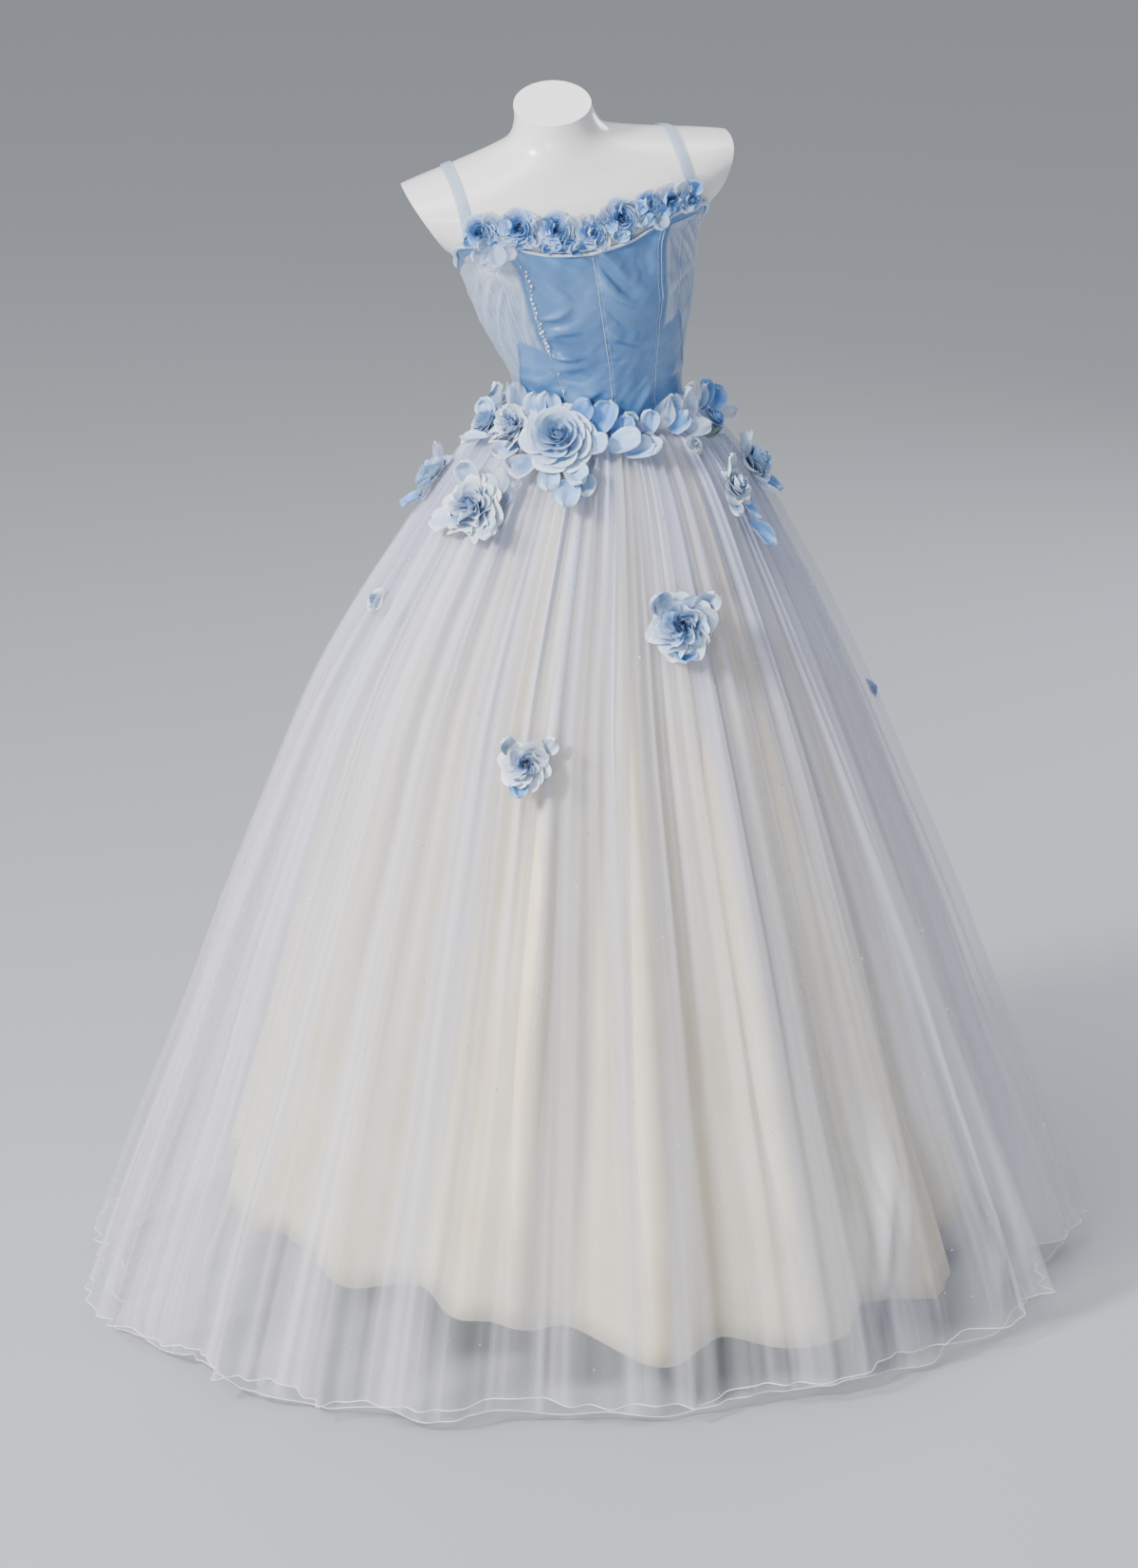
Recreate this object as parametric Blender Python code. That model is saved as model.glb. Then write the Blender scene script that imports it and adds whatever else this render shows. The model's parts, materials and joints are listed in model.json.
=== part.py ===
"""Floor-length prom dress with a gathered tulle skirt, on a limbless dress form.

Metres, +Z up. The floor is z = 0 and the dress faces -Y. The origin is the middle of
the base plate's underside, under the pole. Angles are degrees round the body: 0 is the
front centre, 90 the wearer's left side (+X), 180 the back centre and -90 the wearer's
right side. Heights on the body, called up, run along the leaning torso from the waist.
Heights on the skirt, called drop, run down from the waist seam.
"""
from bisect import bisect_right
from collections import namedtuple
from math import asin, cos, degrees, exp, pi, radians, sin, sqrt, tan

import bmesh
import bpy
from mathutils import Matrix, Vector

# Driving dimensions of the pose
WAIST_HEIGHT = 1.142
SIDE_LEAN = 11.3
SIDE_TILT = 8.0
FORWARD_LEAN = 10.0
BEND_START = -0.04
BEND_END = 0.06

# Cloth and clearances
SEAM_GAP = 0.0003
FORM_CLEARANCE = 0.0015
BODICE_WALL = 0.0015
DRAPE_WALL = 0.0012
BINDING_WALL = 0.0012
STRAP_WALL = 0.0012
STRAP_CLEARANCE = 0.0011
STRAP_FOOT_GAP = 0.0009
OVERLAY_GAP = 0.0007
STRAP_WIDTH = 0.013
STRAP_SIDE = 0.130
STRAP_BACK_SIDE = 0.100

# Dress form
NECK_CUT_HEIGHT = 0.351
NECK_CUT_TIP = 11.0
ARM_CUT_SIDE = 0.1400
ARM_CUT_HEIGHT = 0.180
ARM_CUT_TIP = 27.0
POLE_RADIUS = 0.016
BASE_RADIUS = 0.190
BASE_HEIGHT = 0.012

# Bodice panels
PRINCESS_WAIST = 33.0
PRINCESS_TOP = 31.0
PRINCESS_BEND = 0.55
BACK_PRINCESS = 138.0
PANEL_STEPS = 5
PANEL_ROWS = 10
BUST_RISE = 0.007
BUST_HEIGHT = 0.165
BUST_SPAN = 0.055
BUST_ANGLE = 40.0
BUST_SPREAD = 24.0

PANELS = ("bodice_front", "bodice_side_front", "bodice_side_back", "bodice_back")
SIDES = (("right", -1.0), ("left", 1.0))
BINDING_SHARE = 0.022
BINDING_GAP = 0.0009
STRAP_STEPS = 9

# Sheer side drapes, in panel columns and shares of the panel's height
DRAPE_COLUMNS = (5.2, 12.0)
DRAPE_STEPS = 9
DRAPE_TOP_INSET = 0.05
DRAPE_RIDGE = 0.0018
DRAPE_OUT = BODICE_WALL + OVERLAY_GAP

# Skirt
HEM_CENTRE = (-0.018, 0.004)
CENTRE_SHARE = 0.35
FOLD_COUNT = 13
FOLD_DEPTH = 0.008

Section = namedtuple("Section", "up side front back")
FORM_SECTIONS = (
    Section(-0.280, 0.146, 0.085, 0.100),
    Section(-0.180, 0.156, 0.090, 0.110),
    Section(-0.080, 0.127, 0.085, 0.085),
    Section(0.000, 0.0945, 0.077, 0.074),
    Section(0.030, 0.099, 0.079, 0.076),
    Section(0.064, 0.109, 0.084, 0.080),
    Section(0.106, 0.123, 0.091, 0.085),
    Section(0.138, 0.130, 0.096, 0.088),
    Section(0.170, 0.136, 0.100, 0.090),
    Section(0.200, 0.149, 0.101, 0.090),
    Section(0.215, 0.166, 0.099, 0.089),
    Section(0.232, 0.190, 0.094, 0.087),
    Section(0.250, 0.215, 0.085, 0.082),
    Section(0.262, 0.225, 0.079, 0.077),
    Section(0.270, 0.222, 0.073, 0.073),
    Section(0.278, 0.200, 0.068, 0.069),
    Section(0.286, 0.160, 0.063, 0.065),
    Section(0.293, 0.127, 0.060, 0.062),
    Section(0.301, 0.091, 0.056, 0.059),
    Section(0.311, 0.062, 0.052, 0.056),
    Section(0.325, 0.050, 0.048, 0.052),
    Section(0.345, 0.0445, 0.046, 0.049),
    Section(0.400, 0.0425, 0.045, 0.047),
)
FORM_ROWS = (
    -0.28, -0.20, -0.13, -0.08, -0.05, -0.03, -0.015, 0.0, 0.015, 0.03, 0.05, 0.07,
    0.095, 0.12, 0.145, 0.165, 0.18, 0.19, 0.20, 0.21, 0.22, 0.23, 0.24, 0.25, 0.262, 0.271,
    0.279, 0.286, 0.293, 0.301, 0.311, 0.323, 0.342, 0.40,
)

# Height of the neckline and of the waist seam at each angle from the front centre
Edge = namedtuple("Edge", "angle up")
NECKLINE = (
    Edge(0.0, 0.2095),
    Edge(16.0, 0.2145),
    Edge(27.0, 0.2250),
    Edge(36.0, 0.2310),
    Edge(47.0, 0.2300),
    Edge(66.0, 0.2070),
    Edge(90.0, 0.1800),
    Edge(135.0, 0.1820),
    Edge(180.0, 0.1900),
)
WAIST_SEAM = (
    Edge(0.0, -0.030),
    Edge(30.0, -0.022),
    Edge(90.0, -0.015),
    Edge(180.0, -0.015),
)

# Plan size of the outer tulle at each height above the floor
Ring = namedtuple("Ring", "height side front back")
SKIRT_RINGS = (
    Ring(0.037, 0.610, 0.430, 0.556),
    Ring(0.188, 0.556, 0.400, 0.505),
    Ring(0.339, 0.496, 0.360, 0.448),
    Ring(0.487, 0.442, 0.323, 0.397),
    Ring(0.633, 0.384, 0.283, 0.343),
    Ring(0.777, 0.3245, 0.242, 0.285),
    Ring(0.884, 0.270, 0.205, 0.235),
    Ring(0.954, 0.2295, 0.177, 0.195),
    Ring(1.012, 0.1955, 0.153, 0.162),
    Ring(1.050, 0.171, 0.136, 0.142),
    Ring(1.093, 0.138, 0.112, 0.116),
    Ring(1.135, 0.108, 0.095, 0.098),
)

# Large folds that open towards the hem: where, how wide and how far out or in
Fold = namedtuple("Fold", "angle width rise")
SKIRT_FOLDS = (
    Fold(72.0, 7.0, -0.040),
    Fold(88.0, 8.0, 0.018),
    Fold(-60.0, 7.0, -0.018),
    Fold(-46.0, 6.0, 0.014),
    Fold(-22.0, 7.0, 0.010),
    Fold(20.0, 8.0, 0.012),
    Fold(48.0, 7.0, 0.010),
    Fold(140.0, 10.0, -0.020),
    Fold(165.0, 9.0, 0.016),
    Fold(-150.0, 11.0, -0.018),
    Fold(-118.0, 9.0, 0.014),
)

# Hem heights above the floor by angle
Hem = namedtuple("Hem", "angle height")
TOP_HEM = (Hem(-180.0, 0.040), Hem(-60.0, 0.036), Hem(20.0, 0.030), Hem(70.0, 0.040), Hem(180.0, 0.040))
UNDER_HEM = (Hem(-180.0, 0.012), Hem(180.0, 0.012))
LINING_HEM = (
    Hem(-180.0, 0.110),
    Hem(-90.0, 0.145),
    Hem(-40.0, 0.140),
    Hem(-20.0, 0.115),
    Hem(0.0, 0.075),
    Hem(20.0, 0.055),
    Hem(90.0, 0.070),
    Hem(180.0, 0.110),
)

Layer = namedtuple(
    "Layer",
    "name columns shares hem start wall wave_seam wave_top wave_hem inset_top inset_front inset_side",
)
SKIRT_LAYERS = (
    Layer("skirt_lining", 40, (0.0, 0.022, 0.07, 0.155, 0.29, 0.60, 1.0), LINING_HEM,
          0.0010, 0.0015, 0.0005, 0.0008, 0.006, 0.015, 0.045, 0.140),
    Layer("tulle_under", 60, (0.0, 0.022, 0.07, 0.155, 0.29, 0.52, 1.0), UNDER_HEM,
          0.0035, 0.0013, 0.0005, 0.0012, 0.005, 0.0085, 0.020, 0.024),
    Layer("tulle_top", 144, (0.0, 0.022, 0.07, 0.155, 0.29, 0.52, 1.0), TOP_HEM,
          0.0058, 0.0018, 0.0012, 0.0022, 0.007, 0.0, 0.0, 0.0),
)
TOP_LAYER = SKIRT_LAYERS[-1]

# Petal layers of a fabric rose from the back of its stem to its heart, in radii
Petals = namedtuple("Petals", "reach rise lobe")
ROSE_RINGS = (
    Petals(0.13, 0.00, 0.0),
    Petals(0.34, 0.20, 0.0),
    Petals(1.00, 0.40, 1.0),
    Petals(0.96, 0.48, 1.0),
    Petals(0.68, 0.36, -0.6),
    Petals(0.63, 0.62, -0.6),
    Petals(0.35, 0.50, 0.3),
    Petals(0.28, 0.76, 0.3),
)
ROSE_HEART = 0.68
LOBE_DEPTH = 0.09

# Loose petals and leaves
PETAL_POINTS = 8
PETAL_WALL = 0.0012
PETAL_CUP = 0.25
PETAL_HALF_WIDTH = 0.36

Bloom = namedtuple("Bloom", "name kind angle at size petals turn tip lift", defaults=(0.0,))
# Roses along the neckline: at is the height of the stem above the neckline
NECKLINE_BLOOMS = (
    Bloom("neckline_rose_1", "blue", -34.0, 0.015, 0.019, 5, 10.0, 0.0),
    Bloom("neckline_rose_2", "blue", -21.0, 0.026, 0.021, 5, 50.0, 0.0),
    Bloom("neckline_rose_3", "blue", -10.0, 0.026, 0.020, 5, 25.0, 0.0),
    Bloom("neckline_rose_4", "blue", 1.5, 0.020, 0.018, 5, 0.0, 0.0),
    Bloom("neckline_rose_5", "blue", 12.0, 0.025, 0.021, 5, 35.0, 0.0),
    Bloom("neckline_rose_6", "blue", 21.5, 0.025, 0.0155, 5, 60.0, 0.0),
    Bloom("neckline_rose_7", "blue", 30.0, 0.018, 0.0115, 4, 15.0, 0.0),
    Bloom("neckline_rose_8", "blue", 38.5, 0.008, 0.0135, 4, 40.0, 0.0, 0.0026),
)
# Flowers, petals and leaves on the skirt: at is the drop of the stem below the seam.
# Angles are whole gather pitches, so that each stem stands on a crest. A petal's turn
# is 0 where it points up the cloth and 180 where it points down.
SKIRT_BLOOMS = (
    Bloom("waist_rose_far_right", "sheer", -115.0, 0.014, 0.020, 5, 0.0, 0.0, 0.0005),
    Bloom("waist_rose_side", "pale", -85.0, 0.020, 0.024, 5, 20.0, 0.0),
    Bloom("waist_rose_ruffled", "white", -60.0, 0.014, 0.027, 6, 0.0, 5.0, 0.0006),
    Bloom("waist_rose_main", "pale", -30.0, 0.016, 0.040, 6, 15.0, 6.0, 0.0006),
    Bloom("waist_petal_1", "pale", -20.0, 0.050, 0.034, 1, 175.0, 12.0),
    Bloom("waist_petal_2", "blue", -10.0, 0.006, 0.032, 1, -20.0, 30.0),
    Bloom("waist_petal_3", "pale", -5.0, 0.018, 0.034, 1, -75.0, 14.0),
    Bloom("waist_petal_4", "pale", 10.0, 0.010, 0.024, 1, 10.0, 30.0),
    Bloom("waist_petal_5", "white", 10.0, 0.024, 0.026, 1, -80.0, 14.0),
    Bloom("waist_leaf_1", "pale", 25.0, 0.010, 0.034, 1, -45.0, 30.0),
    Bloom("waist_leaf_2", "white", 45.0, 0.014, 0.036, 1, -10.0, 35.0),
    Bloom("waist_leaf_3", "sheer", 65.0, 0.012, 0.028, 1, -30.0, 40.0),
    Bloom("waist_leaf_4", "leaf", 50.0, 0.030, 0.022, 1, -110.0, 14.0),
    Bloom("waist_flower_small", "white", 40.0, 0.034, 0.011, 4, 0.0, 0.0),
    Bloom("waist_rose_shaded", "blue", 75.0, 0.030, 0.017, 5, 0.0, 0.0),
    Bloom("skirt_rose_1", "pale", -100.0, 0.095, 0.028, 5, 0.0, 0.0),
    Bloom("skirt_rose_2", "white", -55.0, 0.095, 0.036, 6, 0.0, 0.0),
    Bloom("skirt_rose_3", "pale", 85.0, 0.090, 0.027, 5, 0.0, 0.0),
    Bloom("skirt_rose_4", "white", 50.0, 0.088, 0.022, 5, 0.0, 0.0),
    Bloom("skirt_petal_4", "blue", 50.0, 0.125, 0.034, 1, 180.0, 14.0),
    Bloom("skirt_rose_5", "white", -80.0, 0.220, 0.014, 4, 0.0, 0.0),
    Bloom("skirt_rose_6", "pale", 15.0, 0.212, 0.035, 6, 0.0, 0.0),
    Bloom("skirt_rose_7", "white", -20.0, 0.355, 0.026, 5, 0.0, 0.0),
    Bloom("skirt_rose_8", "blue", 90.0, 0.385, 0.012, 4, 0.0, 0.0),
)


def clamp(value, low=0.0, high=1.0):
    return max(low, min(high, value))


def lerp(start, end, share):
    return start + (end - start) * share


def smooth_share(share):
    share = clamp(share)
    return share * share * (3.0 - 2.0 * share)


def read_table(rows, place, column):
    """Value of a column at a place, on a smooth curve that never overshoots the rows."""
    places = [row[0] for row in rows]
    values = [getattr(row, column) for row in rows]
    if place <= places[0]:
        return values[0]
    if place >= places[-1]:
        return values[-1]
    slopes = [
        (values[k + 1] - values[k]) / (places[k + 1] - places[k]) for k in range(len(rows) - 1)
    ]

    def tangent(k):
        if k == 0:
            return slopes[0]
        if k == len(rows) - 1:
            return slopes[-1]
        before, after = slopes[k - 1], slopes[k]
        return 0.0 if before * after <= 0.0 else 2.0 * before * after / (before + after)

    i = bisect_right(places, place) - 1
    span = places[i + 1] - places[i]
    t = (place - places[i]) / span
    return (
        (2 * t**3 - 3 * t**2 + 1) * values[i]
        + (t**3 - 2 * t**2 + t) * span * tangent(i)
        + (3 * t**2 - 2 * t**3) * values[i + 1]
        + (t**3 - t**2) * span * tangent(i + 1)
    )


def angle_from(angle, other):
    return (angle - other + 180.0) % 360.0 - 180.0


# Torso

def section_turn(up):
    """Rotation of a torso section: forward, then to the wearer's right, from the bend up."""
    share = clamp((up - BEND_START) / (BEND_END - BEND_START))
    forward = Matrix.Rotation(radians(FORWARD_LEAN * share), 3, "X")
    aside = Matrix.Rotation(radians(-SIDE_TILT * share), 3, "Y")
    return aside @ forward


def torso_centre(up):
    """Point on the torso's axis: plumb below the waist's bend, straight and leaning above it."""
    bend = BEND_END - BEND_START
    bent = clamp(up - BEND_START, 0.0, bend)
    leaned = bent**2 / (2.0 * bend) + max(up - BEND_END, 0.0)
    height = WAIST_HEIGHT + (up * cos(radians(FORWARD_LEAN)) if up > 0.0 else up)
    return Vector((-leaned * tan(radians(SIDE_LEAN)), -leaned * tan(radians(FORWARD_LEAN)), height))


def torso_point(side, back, up):
    """World point from offsets to the wearer's left, to the back and up the torso."""
    return torso_centre(up) + section_turn(up) @ Vector((side, back, 0.0))


def bust_rise(angle, up):
    height = exp(-(((up - BUST_HEIGHT) / BUST_SPAN) ** 2))
    spread = exp(-(((abs(angle_from(angle, 0.0)) - BUST_ANGLE) / BUST_SPREAD) ** 2))
    return BUST_RISE * height * spread


def body_point(angle, up, out=0.0):
    """Point at a distance out from the form's surface."""
    turn = radians(angle)
    side = read_table(FORM_SECTIONS, up, "side") + out
    depth = read_table(FORM_SECTIONS, up, "front" if cos(turn) > 0.0 else "back") + out
    rise = bust_rise(angle, up)
    return torso_point((side + rise) * sin(turn), -(depth + rise) * cos(turn), up)


def neckline_up(angle):
    return read_table(NECKLINE, abs(angle_from(angle, 0.0)), "up")


def seam_up(angle):
    return read_table(WAIST_SEAM, abs(angle_from(angle, 0.0)), "up")


# Mesh building

def fabric(name, colour, roughness, metallic=0.0):
    material = bpy.data.materials.get(name) or bpy.data.materials.new(name)
    material.use_nodes = True
    shader = material.node_tree.nodes["Principled BSDF"]
    shader.inputs["Base Color"].default_value = (*colour, 1.0)
    shader.inputs["Roughness"].default_value = roughness
    shader.inputs["Metallic"].default_value = metallic
    return material


def add_object(name, mesh_data, material):
    mesh = bpy.data.meshes.new(name)
    bmesh.ops.recalc_face_normals(mesh_data, faces=mesh_data.faces)
    mesh_data.to_mesh(mesh)
    mesh_data.free()
    mesh.shade_smooth()
    mesh.materials.append(material)
    piece = bpy.data.objects.new(name, mesh)
    bpy.context.scene.collection.objects.link(piece)
    return piece


def pull_in_ends(grid, distance):
    """Moves a grid's first and last columns inward, which leaves half a seam gap there."""
    for row in grid:
        first_step = (row[1] - row[0]).normalized()
        last_step = (row[-2] - row[-1]).normalized()
        row[0] = row[0] + first_step * distance
        row[-1] = row[-1] + last_step * distance


def add_wall(name, inner, outer, material):
    """Cloth wall between two grids of points, rows from bottom to top, columns along."""
    for grid in (inner, outer):
        pull_in_ends(grid, SEAM_GAP / 2.0)
    cloth = bmesh.new()
    faces = [[[cloth.verts.new(point) for point in row] for row in grid] for grid in (inner, outer)]
    rows, columns = len(inner), len(inner[0])
    for sheet in faces:
        for r in range(rows - 1):
            for c in range(columns - 1):
                cloth.faces.new((sheet[r][c], sheet[r][c + 1], sheet[r + 1][c + 1], sheet[r + 1][c]))
    lining_side, right_side = faces
    for r in (0, rows - 1):
        for c in range(columns - 1):
            cloth.faces.new(
                (lining_side[r][c], lining_side[r][c + 1], right_side[r][c + 1], right_side[r][c])
            )
    for c in (0, columns - 1):
        for r in range(rows - 1):
            cloth.faces.new(
                (lining_side[r][c], lining_side[r + 1][c], right_side[r + 1][c], right_side[r][c])
            )
    return add_object(name, cloth, material)


def spaced(start, end, count):
    return [lerp(start, end, k / count) for k in range(count + 1)]


# Dress form

def panel_angles():
    """Angles round the body that the bodice panels share with the form."""
    edges = (0.0, PRINCESS_WAIST, 90.0, BACK_PRINCESS, 180.0)
    half = [angle for k in range(4) for angle in spaced(edges[k], edges[k + 1], PANEL_STEPS)[:-1]]
    return half + [180.0] + [-angle for angle in reversed(half[1:])]


def cut_flat(body, point, outward, level):
    """Cuts off what lies outward of a plane above a level, and closes the cut flat."""
    floor_point = torso_centre(level)
    axis = section_turn(level).col[2]
    above = {vertex for vertex in body.verts if (vertex.co - floor_point).dot(axis) > -SEAM_GAP}
    edges = [edge for edge in body.edges if above.issuperset(edge.verts)]
    faces = [face for face in body.faces if above.issuperset(face.verts)]
    cut = bmesh.ops.bisect_plane(
        body, geom=list(above) + edges + faces, plane_co=point, plane_no=outward, clear_outer=True
    )
    rim = [edge for edge in cut["geom_cut"] if isinstance(edge, bmesh.types.BMEdge)]
    bmesh.ops.contextual_create(body, geom=rim)


def add_form_torso(material):
    angles = panel_angles()
    body = bmesh.new()
    rows = [[body.verts.new(body_point(angle, up)) for angle in angles] for up in FORM_ROWS]
    count = len(angles)
    for lower, upper in zip(rows, rows[1:]):
        for c in range(count):
            n = (c + 1) % count
            body.faces.new((lower[c], lower[n], upper[n], upper[c]))
    body.faces.new(rows[0])
    body.faces.new(rows[-1])
    bmesh.ops.recalc_face_normals(body, faces=body.faces)
    torso_up = section_turn(NECK_CUT_HEIGHT)
    neck_normal = torso_up @ Matrix.Rotation(radians(NECK_CUT_TIP), 3, "X") @ Vector((0.0, 0.0, 1.0))
    cut_flat(body, torso_point(0.0, 0.0, NECK_CUT_HEIGHT), neck_normal, ARM_CUT_HEIGHT)
    for sign in (-1.0, 1.0):
        tip = radians(ARM_CUT_TIP)
        outward = torso_up @ Vector((sign * cos(tip), 0.0, -sin(tip)))
        cut_flat(body, torso_point(sign * ARM_CUT_SIDE, 0.0, ARM_CUT_HEIGHT), outward, ARM_CUT_HEIGHT)
    return add_object("form_torso", body, material)


def add_cylinder(name, radius, bottom, top, segments, material):
    rod = bmesh.new()
    bmesh.ops.create_cone(
        rod,
        cap_ends=True,
        segments=segments,
        radius1=radius,
        radius2=radius,
        depth=top - bottom,
        matrix=Matrix.Translation((0.0, 0.0, (top + bottom) / 2.0)),
    )
    piece = add_object(name, rod, material)
    piece.data.set_sharp_from_angle(angle=radians(40.0))
    return piece


def add_dress_form():
    gloss_white = fabric("form_gloss", (0.88, 0.88, 0.88), 0.28)
    steel = fabric("stand_steel", (0.62, 0.63, 0.65), 0.30, 1.0)
    add_form_torso(gloss_white)
    hip = torso_centre(FORM_ROWS[0]).z
    add_cylinder("form_pole", POLE_RADIUS, BASE_HEIGHT + SEAM_GAP, hip - SEAM_GAP, 20, steel)
    add_cylinder("form_base", BASE_RADIUS, 0.0, BASE_HEIGHT, 40, steel)


# Bodice

def princess_angle(share):
    """The front princess seam swings towards the front above the bust."""
    bend = smooth_share((share - PRINCESS_BEND) / (1.0 - PRINCESS_BEND))
    return lerp(PRINCESS_WAIST, PRINCESS_TOP, bend)


def column_angle(column, share):
    """Angle of a panel column: 0 at the front centre, PANEL_STEPS columns to each panel."""
    edges = (0.0, princess_angle(share), 90.0, BACK_PRINCESS, 180.0)
    count = abs(column) / PANEL_STEPS
    panel = min(int(count), 3)
    angle = lerp(edges[panel], edges[panel + 1], count - panel)
    return angle if column >= 0 else -angle


def bodice_point(column, share, out):
    """Point on a panel, straight between the panels' rows, at a distance out from its inside."""
    row = min(int(share * PANEL_ROWS + 1e-9), PANEL_ROWS - 1)
    ends = []
    for level in (row / PANEL_ROWS, (row + 1) / PANEL_ROWS):
        angle = column_angle(column, level)
        up = lerp(seam_up(angle), neckline_up(angle), level)
        ends.append(body_point(angle, up, FORM_CLEARANCE + out))
    return ends[0].lerp(ends[1], share * PANEL_ROWS - row)


def lift_seam_row(grid):
    """Parts the lowest row of a bodice piece from the skirt below it."""
    grid[0] = [point + Vector((0.0, 0.0, SEAM_GAP)) for point in grid[0]]
    return grid


def panel_grid(panel, sign, out):
    columns = [sign * column for column in range(panel * PANEL_STEPS, (panel + 1) * PANEL_STEPS + 1)]
    shares = [row / PANEL_ROWS for row in range(PANEL_ROWS + 1)]
    return lift_seam_row([[bodice_point(column, share, out) for column in columns] for share in shares])


def add_bodice():
    satin = fabric("bodice_satin", (0.30, 0.45, 0.66), 0.36)
    for panel, name in enumerate(PANELS):
        for side, sign in SIDES:
            inner = panel_grid(panel, sign, 0.0)
            outer = panel_grid(panel, sign, BODICE_WALL)
            add_wall(f"{name}_{side}", inner, outer, satin)


def drape_grid(sign, out):
    """Sheer cloth over the side front, in soft ridges that spread from the princess seam's top."""
    shares = [row / PANEL_ROWS for row in range(PANEL_ROWS)] + [1.0 - DRAPE_TOP_INSET]
    grid = []
    for share in shares:
        row = []
        for k in range(DRAPE_STEPS + 1):
            column = lerp(DRAPE_COLUMNS[0], DRAPE_COLUMNS[1], k / DRAPE_STEPS)
            ridge = DRAPE_RIDGE * (k % 2) * sin(pi * clamp(0.15 + 0.85 * share))
            row.append(bodice_point(sign * column, share, DRAPE_OUT + ridge + out))
        grid.append(row)
    return lift_seam_row(grid)


def add_side_drapes():
    organza = fabric("drape_organza", (0.70, 0.76, 0.86), 0.5)
    for side, sign in SIDES:
        add_wall(f"side_drape_{side}", drape_grid(sign, 0.0), drape_grid(sign, DRAPE_WALL), organza)


def add_binding():
    """Narrow binding outside the panels' top edges, open at the back centre."""
    satin = fabric("bodice_satin", (0.30, 0.45, 0.66), 0.36)
    columns = range(-4 * PANEL_STEPS, 4 * PANEL_STEPS + 1)
    grids = [
        [[bodice_point(column, share, BODICE_WALL + BINDING_GAP + out) for column in columns]
         for share in (1.0 - BINDING_SHARE, 1.0)]
        for out in (0.0, BINDING_WALL)
    ]
    add_wall("neckline_binding", grids[0], grids[1], satin)


# Straps

def shoulder_up(side):
    """Height where the shoulder's ridge is as wide as a side offset, by halving."""
    low, high = 0.262, 0.320
    for _ in range(40):
        middle = (low + high) / 2.0
        if read_table(FORM_SECTIONS, middle, "side") > side:
            low = middle
        else:
            high = middle
    return low


def strap_foot(side, face):
    """Height just above the neckline at a side offset, found by walking up."""
    up = 0.18
    while up < 0.26:
        wide = read_table(FORM_SECTIONS, up, "side") + FORM_CLEARANCE
        if wide > side:
            from_front = degrees(asin(side / wide))
            angle = from_front if face == "front" else 180.0 - from_front
            if up > neckline_up(angle) + STRAP_FOOT_GAP:
                return up
        up += 0.0005
    return up


def strap_line(offset, sign):
    """Points over the form's shoulder from the front neckline to the back one."""
    ridge = shoulder_up(STRAP_SIDE + offset)
    points = []
    for face, direction, foot_side in (("front", -1.0, STRAP_SIDE), ("back", 1.0, STRAP_BACK_SIDE)):
        start = strap_foot(foot_side + offset, face)
        line = []
        for k in range(STRAP_STEPS + 1):
            share = 1.0 - (1.0 - k / STRAP_STEPS) ** 2
            up = lerp(start, ridge, share)
            side = lerp(foot_side, STRAP_SIDE, share) + offset
            wide = read_table(FORM_SECTIONS, up, "side")
            deep = read_table(FORM_SECTIONS, up, face)
            if face == "front":
                rise = bust_rise(degrees(asin(clamp(side / wide))), up)
                wide += rise
                deep += rise
            back = direction * deep * sqrt(max(0.0, 1.0 - (side / wide) ** 2))
            line.append(torso_point(sign * side, back, up))
        points += line if face == "front" else line[-2::-1]
    return points


def strap_grids(sign):
    """Inner and outer face of a strap, moved square out from the form's surface."""
    offsets = (-STRAP_WIDTH / 2.0, 0.0, STRAP_WIDTH / 2.0)
    lines = [strap_line(offset, sign) for offset in offsets]
    grids = ([], [])
    for k in range(len(lines[1])):
        along = lines[1][min(k + 1, len(lines[1]) - 1)] - lines[1][max(k - 1, 0)]
        across = (lines[2][k] - lines[0][k]) * sign
        outward = across.cross(along).normalized()
        for grid, out in zip(grids, (STRAP_CLEARANCE, STRAP_CLEARANCE + STRAP_WALL)):
            grid.append([line[k] + outward * out for line in lines])
    return grids


def add_straps():
    ribbon = fabric("strap_ribbon", (0.62, 0.72, 0.86), 0.45)
    for side, sign in SIDES:
        inner, outer = strap_grids(sign)
        add_wall(f"strap_{side}", inner, outer, ribbon)


# Skirt

def uneven(number):
    """Repeatable unevenness between -1 and 1 for the nth gather."""
    return 0.6 * sin(2.4 * number + 0.7) + 0.4 * sin(5.3 * number)


def fold_rise(angle, share):
    """Outward rise of the large folds, which open towards the hem."""
    rise = FOLD_DEPTH * cos(radians(FOLD_COUNT * angle + 40.0 * sin(radians(3.0 * angle))))
    for fold in SKIRT_FOLDS:
        rise += fold.rise * exp(-((angle_from(angle, fold.angle) / fold.width) ** 2))
    return rise * share**1.5


def gather_rise(layer, angle, share):
    """Crest or trough of the small gathers: crests stand at even columns."""
    column = angle * layer.columns / 360.0
    size = lerp(layer.wave_top, layer.wave_hem, share)
    return size * cos(pi * column) * (1.0 + 0.35 * uneven(round(column / 2.0)))


def layer_inset(layer, angle, share):
    """How far a layer lies inside the outer tulle."""
    at_hem = lerp(layer.inset_front, layer.inset_side, sin(radians(angle)) ** 2)
    return lerp(layer.inset_top, at_hem, share)


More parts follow.
